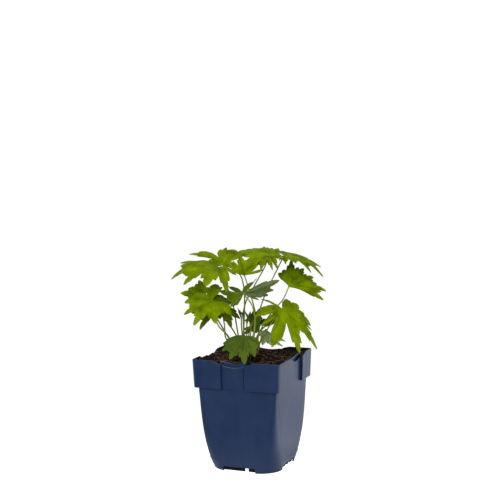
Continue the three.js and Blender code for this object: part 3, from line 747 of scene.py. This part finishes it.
# Fibres of coir and straw that lie across the surface, each bent over the lumps under it
def layFibres(chance):
    steps, clear = soil["fibreSteps"], soil["fibreClear"]
    runs = []
    for number in range(soil["fibres"]):
        straw = number < soil["straws"]
        x, y = (chance.uniform(-soil["reach"], soil["reach"]) for _ in range(2))
        heading = chance.uniform(0, 2 * math.pi)
        bend = chance.uniform(-0.25, 0.25)
        length = chance.choice((12, 16, 20) if straw else (5, 7, 9, 13, 18))
        radius = chance.uniform(0.28, 0.4) if straw else chance.uniform(0.12, 0.26)
        run = []
        for step in range(steps + 1):
            heading += bend
            x, y = x + math.cos(heading) * length / steps, y + math.sin(heading) * length / steps
            x, y = insidePot(x * clear, y * clear)
            x, y = x / clear, y / clear
            arch = chance.uniform(0, 0.5) + 0.4 * math.sin(step / steps * math.pi)
            thin = radius * (0.35 + 0.65 * math.sin((step + 0.6) / (steps + 1.2) * math.pi))
            run.append(((x, y, roughSoilHeight(x, y) + arch), thin))
        runs.append(run)
    return tubeOf("fibres", runs, 1)


# Damp peat and composted bark: near black with red-brown chips, dull and open
peatLook = {
    "size": 3.2, "grain": (6, 0.8), "tones": [(0.36, 0x0A0807), (0.5, 0x1B1410), (0.68, 0x46291C)],
    "chipSize": 1.1, "bump": 0.5, "roughness": 0.9, "shading": {"IOR": 1.4, "Specular IOR Level": 0.2},
}


def dampPeat(tree):
    colour, roughness, _ = grained(peatLook)(tree)
    chips = grain(tree, peatLook["chipSize"], 4, 0.4)
    return colour, roughness, chips.outputs["Fac"]


# Dry coir and straw: pale tan to rust, with a faint sheen along the strand
strawLook = {
    "size": 6, "grain": (2,), "tones": [(0.42, 0x5A3420), (0.62, 0x8C7046)],
    "bump": 0.1, "roughness": 0.7, "shading": {"IOR": 1.45},
}

# Perlite grit: chalky white, pitted and quite dull
perliteLook = {
    "size": 0.6, "grain": (3,), "tones": [(0.4, 0xA8A298), (0.55, 0xD8D4CC)],
    "bump": 0.2, "roughness": 0.9, "shading": {"IOR": 1.5},
}


def makeSoil():
    chance = random.Random(soil["seed"])
    peat, perlite, straw = (
        makeMaterial(name, pattern, look["bump"], look["shading"])
        for name, pattern, look in (
            ("damp_peat", dampPeat, peatLook),
            ("white_perlite", grained(perliteLook), perliteLook),
            ("dry_straw", grained(strawLook), strawLook),
        )
    )
    heap = makeCompost()
    heap.data.materials.append(peat)
    crumbs = scatterCrumbs(chance, peat, soil["crumbs"]) + scatterCrumbs(chance, perlite, soil["grits"])
    fibres = layFibres(chance)
    fibres.data.materials.append(straw)
    joinPieces(heap, [*crumbs, fibres])
    smoothByAngle(heap, 60)
    handOver(heap, "peat", "soil")


makePot()
print("pot moulded")
makeSoil()
print("soil filled")


# Leaves: palmate blades cut into toothed lobes, each on its own long stalk. hub is where the stalk
# meets the blade. lobes go round the blade: each is the step from the hub to the lobe's tip, then
# its width, its arch and how far out the cut after it ends, as shares, None for the leaf's own
# value. foot is where the stalk leaves the soil and by the places it passes, in the plant's frame.
# side is 1 where the lobes go anticlockwise round the upper face and -1 where they go clockwise.
# A leaf that names no value has the usual one.
usualLeaf = {"side": -1, "cut": 0.6, "arch": 0.08}
leaves = [
    {
        "name": "leaf_upper_left", "cut": 0.62, "arch": 0.14,
        "hub": [-32, -8, 195], "foot": [-11, 1], "by": [[-8, 1, 142], [-8, 1, 176], [-13, -4, 189]],
        "lobes": [
            [17, -6, -6, 0.7, None, 0.5], [8, -28, -19, 0.8, None, 0.6],
            [-11, -38, -12, 1.2, None, 0.6], [-32, -22, -13, 1, None, 0.8],
            [-45, 0, -10, 1, 0.18, 0.86], [-36, 18, 4, 1, 0.1, 0.7], [-8, 18, 1],
        ],
    },
    {
        "name": "leaf_back_left",
        "hub": [-28, 24, 195], "foot": [-12, 6], "by": [[-16, 8, 139], [-19, 14, 157], [-25, 20, 175]],
        "lobes": [
            [11, -14, -3, 0.8], [-10, -10, -2, 1, None, 0.3], [-33, 8, 9, 0.4, 0.12, 0.2],
            [3, 28, 13, 0.45, 0.02, 0.8], [24, 22, 11, 1.2, 0],
        ],
    },
    {
        "name": "leaf_top_centre", "side": 1,
        "hub": [17, 16, 203], "foot": [-7, 4], "by": [[-8, 9, 152], [2, 12, 173], [13, 15, 192]],
        "lobes": [
            [-16, -12, -10], [-8, -30, -10, 0.8], [3, -32, -10, 0.8], [8, -26, -10, 0.8],
            [13, -18, 0, 0.7, 0.02, 0.5], [11, 3, 2, 0.8, 0.02, 0.9], [3, 26, 5, 0.7, 0.02, 0.72],
            [-4, 30, 6, 0.7, 0.02], [-26, 22, 3, 1.2, 0.07], [-22, -10, -11],
        ],
    },
    {
        "name": "leaf_top_front", "arch": 0.05,
        "hub": [-7, -8, 187], "foot": [-2, 0], "by": [[2, -1, 131], [3, -1, 148], [-1, -2, 166]],
        "lobes": [
            [-19, -20, 9, 0.5], [-17, -16, 16, 1, None, 0.5], [-4, -2, 18, 1.2],
            [14, -6, 15, 1, None, 0.25], [19, -14, 7, 0.4],
        ],
    },
    {
        "name": "leaf_top_right", "side": 1, "cut": 0.68,
        "hub": [32, 20, 202], "foot": [-3, 6], "by": [[5, 10, 142], [13, 13, 165], [25, 16, 189]],
        "lobes": [
            [-5, -8, -3, 0.7], [1, -18, -6, 0.6], [11, -28, -4, 0.7, None, 0.7],
            [25, -28, -13, 0.8, 0.12, 0.78], [37, -16, -18, 1, 0.12, 0.8], [36, 2, -11, 1, 0.08, 0.62],
            [2, 24, 2, 1, 0.02],
        ],
    },
    {
        "name": "leaf_middle_right", "cut": 0.62,
        "hub": [36, 2, 174], "foot": [1.5, 7], "by": [[8, 10, 130], [19, 7, 148], [30, 4, 161]],
        "lobes": [
            [-10, 16, 11], [4, 30, 23, 0.7], [16, 28, 14, 1, None, 0.66], [24, 20, 7, 1, None, 0.7],
            [36, 4, -5, 1, None, 0.85], [32, -14, -11],
        ],
    },
    {
        "name": "leaf_lower_right", "teeth": "long", "cut": 0.4, "arch": 0.12,
        "hub": [29, -14, 154], "foot": [2.5, -4], "by": [[11, -10, 129], [22, -14, 146]],
        "lobes": [
            [4, 10, 9, 0.8, None, 0.75], [27, 2, -16, 0.9, 0.1, 0.85], [33, 0, -38, 1, 0.13, 0.55],
            [15, -26, -37, 0.9, 0.1, 0.3], [-11, -30, -30, 1.2, 0.1, 0.3],
            [-21, -16, -12, 0.7, None, 0.4], [-26, -18, -3, 1.3, None, 0.3], [-20, 4, 10, 0.3],
        ],
    },
    {
        "name": "leaf_lower_left", "cut": 0.68,
        "hub": [-38, -28, 166], "foot": [-14, -8], "by": [[-23, -12, 128], [-33, -27, 143]],
        "lobes": [
            [19, 14, -3], [18, -14, -11, 1, None, 0.75], [4, -22, -18, 1, None, 0.62],
            [-17, -16, -20, 1, None, 0.68], [-26, -8, -11, 1, None, 0.75], [-26, 4, -2, 1, None, 0.3],
            [3, 20, 13, 0.8],
        ],
    },
    {
        "name": "leaf_far_left", "arch": 0.05,
        "hub": [-45, -10, 165], "foot": [-15, 1.5], "by": [[-28, 0, 133], [-38, 2, 150]],
        "lobes": [
            [-14, -4, -4], [-23, 0, 6, 1, None, 0.7], [-6, 18, 16, 0.6],
        ],
    },
    {
        "name": "leaf_folded_centre", "side": 1, "arch": 0, "turnsOver": 0.75,
        "hub": [-8, -14, 170], "foot": [1, -13],
        "by": [[0.6, -17, 126], [2.6, -19.5, 145], [0, -18.5, 159]],
        "lobes": [
            [-12, -16, -10, 1, None, 0.85], [-22, -22, 5, 1, None, 0.25], [-16, 0, 9, 0.1, 0.25, 0.15],
            [13, 6, 14, 0.1, 0.25, 0.2], [34, -8, 13, 1, None, 0.96], [23, 4, -3, 1, None, 0.3],
            [14, -12, -5, 0.5],
        ],
    },
    {
        "name": "leaf_over_rim", "teeth": "blunt", "cut": 0.8,
        "hub": [-7, -20, 130], "foot": [-4, -10], "by": [[-6, -14, 123]],
        "lobes": [
            [14, -8, -5, 1, 0.03, 0.9], [9, -22, -15, 1, None, 0.72], [-1, -27, -21, 1.1, None, 0.7],
            [-15, -24, -17, 1, None, 0.85], [-22, -18, -10, 1, 0.05, 0.92], [-21, -6, -5, 1, 0, 0.95],
            [-14, 6, -2, 1, 0],
        ],
    },
    {
        "name": "leaf_pale_low", "side": 1,
        "hub": [13, 6, 131], "foot": [4.5, 0.5], "by": [[8, 2, 122]],
        "lobes": [
            [19, 2, -12], [16, -4, -16], [6, -12, -14], [-4, -12, -13], [-7, -6, -2],
        ],
    },
    {
        "name": "leaf_dark_left",
        "hub": [-30, -8, 158], "foot": [-14.5, -3.5], "by": [[-26, -6, 126], [-27, -8, 139]],
        "lobes": [
            [18, -2, -12], [10, -14, -19], [-6, -20, -11], [-20, -16, -20], [-28, -2, -6],
        ],
    },
    {
        "name": "leaf_young", "side": 1, "arch": 0,
        "hub": [-2, -12, 140], "foot": [-5.5, -3], "by": [[-4, -8, 126]],
        "lobes": [
            [6, -4, -8], [9, 0, 15], [4, -2, 16], [0, -4, 13], [-5, -5, 14, 0.5],
        ],
    },
    {
        "name": "leaf_back_low_left",
        "hub": [-38, 26, 152], "foot": [-9, 9.5], "by": [[-18, 14, 128], [-30, 22, 143]],
        "lobes": [
            [14, -12, -6], [3, -20, -8], [-15, -14, -5], [-18, 2, 0], [-8, 18, 6],
        ],
    },
    {
        "name": "leaf_back_low_right", "side": 1,
        "hub": [23, 32, 138], "foot": [1, 11], "by": [[5, 18, 124], [15, 27, 133]],
        "lobes": [
            [-10, -14, -5], [4, -18, -11], [16, -4, -3], [13, 18, 7], [-3, 18, 10],
        ],
    },
]
plant = {
    "turn": 22.8, "stemSoil": 108, "stemDepth": 12, "stemStart": 103,
    "bladeThickness": 0.5, "pleat": 0.9, "endWidth": 0.84, "endCut": 0.6,
    "footRadius": 1.15, "stemRadius": 0.8, "hubRadius": 0.62,
    "sheathFrom": 106, "sheathHeight": 14, "sheathMost": 0.5,  # the stalk widens towards its foot
    "ribRadius": 0.42, "ribTip": 0.12, "ribReach": 0.93, "ribProud": 0.2,
    "knuckleRadius": 1.1, "knuckleFlat": 0.35, "knuckleDrop": 0.35,
    "margin": 0.7, "marginSize": 9, "smoothTo": 50, "seed": 21,
}
toothShapes = {  # how far out and how far from the midrib each point of half a lobe lies, as shares
    "short": [(0.8, 0.68), (0.77, 0.44), (0.91, 0.25)],
    "long": [(0.62, 0.66), (0.8, 0.5), (0.79, 0.34), (0.93, 0.16)],
    "blunt": [(0.88, 0.74), (0.84, 0.54), (0.96, 0.28)],
}
smallTeeth = [(0.16, 0.006), (0.34, 0.022), (0.46, 0.04), (0.53, 0.0), (0.7, 0.02), (0.86, 0.026)]
ringShares = [0, 0.06, 0.13, 0.22, 0.32, 0.43, 0.54, 0.65, 0.75, 0.84, 0.92, 1]


def lobeValue(lobe, index, usual):
    return lobe[index] if len(lobe) > index and lobe[index] is not None else usual


# Places round the edge where the CAD blade has its corners: place in lobes, and reach
def edgeCorners(leaf):
    lobes = leaf["lobes"]
    last = len(lobes) - 1
    teeth = toothShapes[leaf.get("teeth", "short")]
    corners = []
    for k, lobe in enumerate(lobes):
        width = lobeValue(lobe, 3, 1)
        before = plant["endWidth"] if k == 0 else width / (width + lobeValue(lobes[k - 1], 3, 1))
        after = plant["endWidth"] if k == last else width / (width + lobeValue(lobes[k + 1], 3, 1))
        left, right = min(before, width / 2), min(after, width / 2)
        if k == 0:
            corners.append((-left, plant["endCut"] * leaf["cut"]))
        corners += [(k - left * off, reach) for reach, off in teeth]
        corners.append((k, 1))
        corners += [(k + right * off, reach) for reach, off in reversed(teeth)]
        if k < last:
            corners.append((k + after, lobeValue(lobe, 5, leaf["cut"])))
        else:
            corners.append((k + right, plant["endCut"] * leaf["cut"]))
    return corners


# The same edge with small teeth between the corners, each pointing towards the lobe's tip
def toothedEdge(leaf, chance):
    corners = edgeCorners(leaf)
    edge = []
    for (place, reach), (nextPlace, nextReach) in zip(corners, corners[1:]):
        edge.append((place, reach))
        outward = nextReach >= reach
        size = chance.uniform(0.5, 1.3) * min(1, abs(nextReach - reach) * 8 + 0.3)
        steps = smallTeeth if outward else [(1 - share, push) for share, push in reversed(smallTeeth)]
        for share, push in steps:
            there = place + (nextPlace - place) * share
            edge.append((there, reach + (nextReach - reach) * share + push * size))
    edge.append(corners[-1])
    return edge


# Direction and length of the blade at a place between two lobes
def spokeAt(leaf, place):
    lobes = leaf["lobes"]
    k = min(max(math.floor(place), 0), len(lobes) - 2)
    share = place - k
    start, end = Vector(lobes[k][:3]), Vector(lobes[k + 1][:3])
    angle = start.angle(end)
    length = start.length + (end.length - start.length) * share
    way = start.normalized() * math.sin((1 - share) * angle) + end.normalized() * math.sin(share * angle)
    return way * (length / math.sin(angle))


# Way that the blade's upper face looks
def facingOf(leaf):
    facing = Vector((0, 0, 0))
    for lobe, following in zip(leaf["lobes"], leaf["lobes"][1:]):
        start, end = Vector(lobe[:3]), Vector(following[:3])
        facing += start.cross(end) / (start.length * end.length)
    return facing.normalized() * leaf["side"]


def archAt(leaf, place):
    lobes = leaf["lobes"]
    inside = min(max(place, 0), len(lobes) - 1)
    k = min(math.floor(inside), len(lobes) - 2)
    share = inside - k
    ease = share * share * (3 - 2 * share)
    start = lobeValue(lobes[k], 4, leaf["arch"])
    return start + (lobeValue(lobes[k + 1], 4, leaf["arch"]) - start) * ease


def bladePoint(leaf, facing, place, reach):
    spoke = spokeAt(leaf, place)
    lift = 4 * archAt(leaf, place) * spoke.length * reach * (1 - reach)
    fromRib = min(abs(place - round(place)), 0.5)
    grow = min(1, 2 * reach) * (1 - 0.3 * reach)
    lift -= plant["pleat"] * math.cos(2 * math.pi * fromRib) * grow
    return spoke * reach + facing * lift


# Distance from the nearest midrib and distance along it, in millimetres
def veinPlace(leaf, place, reach):
    lobes = leaf["lobes"]
    rib = Vector(lobes[min(max(round(place), 0), len(lobes) - 1)][:3]).normalized()
    spoke = spokeAt(leaf, place) * reach
    along = spoke.dot(rib)
    return (spoke - rib * along).length, along


def turnPlant(piece):
    piece.data.transform(Matrix.Rotation(math.radians(plant["turn"]), 4, "Z"))


# Blade: a grid whose columns run out from the hub and whose rows run round it
def makeBlade(leaf, chance):
    hub, facing = Vector(leaf["hub"]), facingOf(leaf)
    edge = toothedEdge(leaf, chance)
    columns, rings = len(edge) - 1, len(ringShares) - 1
    deselectAll()
    bpy.ops.mesh.primitive_grid_add(x_subdivisions=columns, y_subdivisions=rings, size=2)
    blade = settle(leaf["name"])
    veins = []
    for vert in blade.data.vertices:
        column = round((vert.co.x + 1) / 2 * columns)
        ring = round((vert.co.y + 1) / 2 * rings)
        place, reach = edge[column]
        reach *= ringShares[ring]
        point = hub + bladePoint(leaf, facing, place, reach)
        wave = noise.noise(point / plant["marginSize"]) * plant["margin"] * ringShares[ring] ** 2
        vert.co = (point + facing * wave) * mm
        veins.append(veinPlace(leaf, place, reach))
    layer = blade.data.uv_layers.active or blade.data.uv_layers.new()
    layer.name = "veinMap"
    for loop in blade.data.loops:
        layer.data[loop.index].uv = veins[loop.vertex_index]
    bpy.ops.object.mode_set(mode="EDIT")
    bpy.ops.mesh.select_all(action="SELECT")
    bpy.ops.mesh.remove_doubles(threshold=0.01 * mm)
    faceOutwards()
    total = sum((face.normal * face.area for face in blade.data.polygons), Vector((0, 0, 0)))
    if total.dot(facing) < 0:
        blade.data.flip_normals()
    return blade


# Centripetal curve through the stalk's places, as points at even shares of its parameter
def stalkLine(leaf):
    x, y = leaf["foot"]
    foot = plant["stemSoil"]
    places = [(x, y, foot - plant["stemDepth"]), (x, y, foot), *leaf["by"], leaf["hub"]]
    knots = [Vector(place) for place in places]
    knots = [2 * knots[0] - knots[1], *knots, 2 * knots[-1] - knots[-2]]
    steps = 8
    line = []
    for before, start, end, after in zip(knots, knots[1:], knots[2:], knots[3:]):
        gaps = [max(1e-4, (b - a).length ** 0.5) for a, b in ((before, start), (start, end), (end, after))]
        tangents = []
        for a, b, c, first, second in ((before, start, end, *gaps[:2]), (start, end, after, *gaps[1:])):
            tangents.append(((b - a) / first - (c - a) / (first + second) + (c - b) / second) * gaps[1])
        for t in (step / steps for step in range(steps)):
            cubic = start + tangents[0] * t
            cubic += (3 * (end - start) - 2 * tangents[0] - tangents[1]) * t**2
            cubic += (2 * (start - end) + tangents[0] + tangents[1]) * t**3
            line.append(cubic)
    line.append(knots[-2])
    return [place for place in line if place.z > plant["stemStart"]]


def makeStalk(leaf):
    line = stalkLine(leaf)
    last = len(line) - 1
    run = []
    for number, place in enumerate(line):
        share = number / last
        radius = plant["stemRadius"] + (plant["hubRadius"] - plant["stemRadius"]) * share
        down = max(0, 1 - (place.z - plant["sheathFrom"]) / plant["sheathHeight"])
        sheath = (plant["footRadius"] - plant["stemRadius"]) * down
        run.append((place, radius + min(sheath, plant["sheathMost"])))
    return tubeOf("stalk", [run], 2)


# Midribs that stand proud of the blade's underside, from the hub to near each lobe's tip
def makeRibs(leaf):
    hub, facing = Vector(leaf["hub"]), facingOf(leaf)
    steps = 10
    runs = []
    for k in range(len(leaf["lobes"])):
        run = []
        for step in range(steps + 1):
            reach = plant["ribReach"] * step / steps
            radius = plant["ribRadius"] + (plant["ribTip"] - plant["ribRadius"]) * step / steps
            under = facing * (plant["bladeThickness"] / 2 + radius * plant["ribProud"])
            run.append((hub + bladePoint(leaf, facing, k, reach) - under, radius))
        runs.append(run)
    return tubeOf("ribs", runs, 1)


# Knuckle where the stalk opens into the blade
def makeKnuckle(leaf):
    deselectAll()
    bpy.ops.mesh.primitive_uv_sphere_add(segments=16, ring_count=10, radius=plant["knuckleRadius"] * mm)
    knuckle = settle("knuckle")
    facing = facingOf(leaf)
    for vert in knuckle.data.vertices:
        vert.co -= facing * vert.co.dot(facing) * plant["knuckleFlat"]
        vert.co += (Vector(leaf["hub"]) - facing * plant["knuckleDrop"]) * mm
    return knuckle


# Live ligularia leaf, upper face: thin, matt and yellow-green, a painted glow standing in for light that
# comes through, with paler veins that fan out from each midrib and a fine crinkle between them
leafLooks = {
    # bright and shaded are lit and shaded copies of the upper face: painted light and painted shade
    "bright": {"deep": 0x566A00, "fresh": 0x829A08, "vein": 0x8CA00E},
    "shaded": {"deep": 0x4A6206, "fresh": 0x62780C, "vein": 0x768A1C},
    "dark": {"deep": 0x44591A, "fresh": 0x5A6E22, "vein": 0x6B7E34},
    "under": {"deep": 0x5A683C, "fresh": 0x6E7C4C, "vein": 0x8A9960},
    "downy": {"deep": 0x9AAA70, "fresh": 0xB6C68C, "vein": 0xC8D4A4},
    "patchSize": 11, "deepTo": 0.32, "freshFrom": 0.66, "crinkle": 1.6, "crinkleHeight": 0.5,
    "veinSpacing": 4.6, "veinWander": 1.2, "veinCore": 0.05, "veinWidth": 0.5, "veinShare": 0.15,
    "midribCore": 0.15, "midribWidth": 0.8, "midribShare": 0.4,
    "bump": 0.4, "roughness": 0.55, "shading": {"IOR": 1.42, "Specular IOR Level": 0.02},
}


def leafPattern(look):
    def pattern(tree):
        patches = grain(tree, leafLooks["patchSize"], 3)
        crinkle = grain(tree, leafLooks["crinkle"], 3, 0.5)
        ways = addNode(tree, "UVMap", {"uv_map": "veinMap"})
        parts = addNode(tree, "SeparateXYZ", inputs={0: ways.outputs["UV"]})
        across, along = parts.outputs["X"], parts.outputs["Y"]
        slanted = addNode(tree, "Math", {"operation": "SUBTRACT"}, {0: along, 1: across})
        bent = addNode(
            tree, "Math", {"operation": "MULTIPLY_ADD"},
            {0: crinkle.outputs["Fac"], 1: leafLooks["veinWander"], 2: slanted.outputs[0]},
        )
        spaced = addNode(
            tree, "Math", {"operation": "PINGPONG"},
            {0: bent.outputs[0], 1: leafLooks["veinSpacing"] / 2},
        )
        sideVein = addNode(
            tree, "MapRange", eased,
            {"Value": spaced.outputs[0], "From Min": leafLooks["veinCore"],
             "From Max": leafLooks["veinWidth"], "To Min": leafLooks["veinShare"], "To Max": 0},
        )
        midrib = addNode(
            tree, "MapRange", eased,
            {"Value": across, "From Min": leafLooks["midribCore"],
             "From Max": leafLooks["midribWidth"], "To Min": leafLooks["midribShare"], "To Max": 0},
        )
        veins = addNode(
            tree, "Math", {"operation": "MAXIMUM"},
            {0: sideVein.outputs["Result"], 1: midrib.outputs["Result"]},
        )
        tones = addNode(
            tree, "ValToRGB", {}, {"Fac": patches.outputs["Fac"]},
            [(leafLooks["deepTo"], linear(look["deep"])), (leafLooks["freshFrom"], linear(look["fresh"]))],
        )
        coloured = addNode(
            tree, "Mix", {"data_type": "RGBA"},
            {0: veins.outputs[0], 6: tones.outputs["Color"], 7: linear(look["vein"])},
        )
        height = addNode(
            tree, "Math", {"operation": "MULTIPLY_ADD"},
            {0: crinkle.outputs["Fac"], 1: leafLooks["crinkleHeight"], 2: veins.outputs[0]},
        )
        return coloured.outputs[2], leafLooks["roughness"], height.outputs[0]
    return pattern


# Leaf stalk: smooth, ribbed and faintly glossy, green with a purple-brown foot
stalkLook = {
    "green": 0xA4AE34, "deep": 0x7E8E2C, "foot": 0x6A5A34, "size": 9, "stretch": 0.2,
    "footFrom": 110, "footTo": 121, "ridge": 0.1, "roughness": 0.4, "ior": 1.42,
}


def stalkPattern(tree):
    change = grain(tree, stalkLook["size"], 2, 0, (1, 1, stalkLook["stretch"]))
    place = addNode(tree, "TexCoord")
    parts = addNode(tree, "SeparateXYZ", inputs={0: place.outputs["Object"]})
    foot = addNode(
        tree, "MapRange", {},
        {"Value": parts.outputs["Z"], "From Min": stalkLook["footFrom"] * mm,
         "From Max": stalkLook["footTo"] * mm, "To Min": 1, "To Max": 0},
    )
    tones = addNode(
        tree, "ValToRGB", {}, {"Fac": change.outputs["Fac"]},
        [(0.35, linear(stalkLook["deep"])), (0.65, linear(stalkLook["green"]))],
    )
    coloured = addNode(
        tree, "Mix", {"data_type": "RGBA"},
        {0: foot.outputs["Result"], 6: tones.outputs["Color"], 7: linear(stalkLook["foot"])},
    )
    return coloured.outputs[2], stalkLook["roughness"], change.outputs["Fac"]


leafFaces = {  # finish of the face that looks forwards, finish of the one behind, and the slot
    "leaf_over_rim": ("dark", "under", "leaf_dark"),
    "leaf_young": ("dark", "under", "leaf_dark"),
    # the shaded finish on these two leaves is painted shade
    "leaf_dark_left": ("shaded", "under", "leaf_dark"),
    "leaf_back_low_left": ("shaded", "under", "leaf_dark"),
    "leaf_back_low_right": ("dark", "under", "leaf_dark"),
    "leaf_pale_low": ("downy", "shaded", "leaf_pale"),
    "leaf_folded_centre": ("under", "shaded", "leaf_pale"),
}


# One leaf in one mesh: its blade, stalk, knuckle and ribs
def makeLeaf(leaf, faces, finishes, chance):
    blade = makeBlade(leaf, chance)
    applyModifier(
        blade, "SOLIDIFY", thickness=plant["bladeThickness"] * mm, offset=0, material_offset=1,
        use_even_offset=False,
    )
    for face in faces:
        blade.data.materials.append(finishes[face])
    # Where the folded leaf turns over, its faces swap finishes, so its upper face shows there in the shaded
    # finish: painted shade
    if "turnsOver" in leaf:
        for face in blade.data.polygons:
            away = face.center / mm - Vector(leaf["hub"])
            if away.x < 0 or away.z > leaf["turnsOver"] * away.x:
                face.material_index = 1 - face.material_index
    stems = [makeStalk(leaf), makeKnuckle(leaf)]
    ribs = makeRibs(leaf)
    for piece in stems:
        piece.data.materials.append(finishes["stalk"])
    ribs.data.materials.append(finishes["under"])
    joinPieces(blade, [*stems, ribs])
    turnPlant(blade)
    smoothByAngle(blade, plant["smoothTo"])
    return blade


# Young shoots at the crown: small leaves that still unfold, too slight for solids of their own
shoots = [
    {
        "name": "shoot_left", "side": 1, "cut": 0.4, "arch": 0,
        "hub": [-10.7, -9, 147], "foot": [-7.5, -8], "by": [[-9, -8.5, 120], [-10.5, -9, 136]],
        "lobes": [[-2.5, 0, 5, 1], [-3.2, -1, 9, 0.6], [-1, -1, 7, 1]],
    },
    {
        "name": "shoot_middle", "side": 1, "cut": 0.4, "arch": 0,
        "hub": [-8.8, -11, 146], "foot": [-6, -11], "by": [[-7, -11, 120], [-8.5, -11, 134]],
        "lobes": [[-1.6, 0, 6, 1], [0.4, -1, 9, 0.7], [1.8, 0, 6, 1]],
    },
    {
        "name": "shoot_folded", "side": -1, "cut": 0.5, "arch": 0.05,
        "hub": [-1.4, -15.5, 139], "foot": [-3.5, -13], "by": [[-3, -14, 120], [-1.8, -15, 132]],
        "lobes": [[-4, 2, -9, 1], [-8, -1, -10, 0.8], [-7, 0, -3, 1]],
    },
    {
        "name": "shoot_small", "side": 1, "cut": 0.4, "arch": 0,
        "hub": [-5.3, -15, 142], "foot": [-5, -15], "by": [[-5, -15, 118], [-5.6, -15, 132]],
        "lobes": [[-2, 0, 3, 1], [0, -1, 5, 0.7], [2.2, 0, 3, 1]],
    },
    {
        "name": "shoot_right", "side": 1, "cut": 0.5, "arch": 0.05,
        "hub": [7, -8, 139], "foot": [4, -9], "by": [[4.5, -9, 120], [6, -8.5, 131]],
        "lobes": [[-4, 0, 6, 0.8], [1, -2, 9, 1], [7, -3, 6, 1], [9, -2, -1, 0.8]],
    },
]


def makeLeaves():
    chance = random.Random(plant["seed"])
    finishes = {}
    for name in ("bright", "shaded", "dark", "under", "downy"):
        pattern = leafPattern(leafLooks[name])
        finishes[name] = makeMaterial(f"leaf_{name}_face", pattern, leafLooks["bump"], leafLooks["shading"])
    sheen = {"IOR": stalkLook["ior"]}
    finishes["stalk"] = makeMaterial("leaf_stalk", stalkPattern, stalkLook["ridge"], sheen)
    for leaf in (usualLeaf | leaf for leaf in leaves):
        front, behind, slot = leafFaces.get(leaf["name"], ("bright", "under", "leaf"))
        handOver(makeLeaf(leaf, (front, behind), finishes, chance), slot, leaf["name"])
    # The young shoots wear the shaded finish: painted shade at the crown
    young = [makeLeaf(shoot, ("shaded", "under"), finishes, chance) for shoot in shoots]
    tuft = joinPieces(young[0], young[1:])
    tuft.name = "young_shoots"
    tuft.data.name = "young_shoots"
    handOver(tuft, "leaf_dark")


makeLeaves()
print("leaves grown")
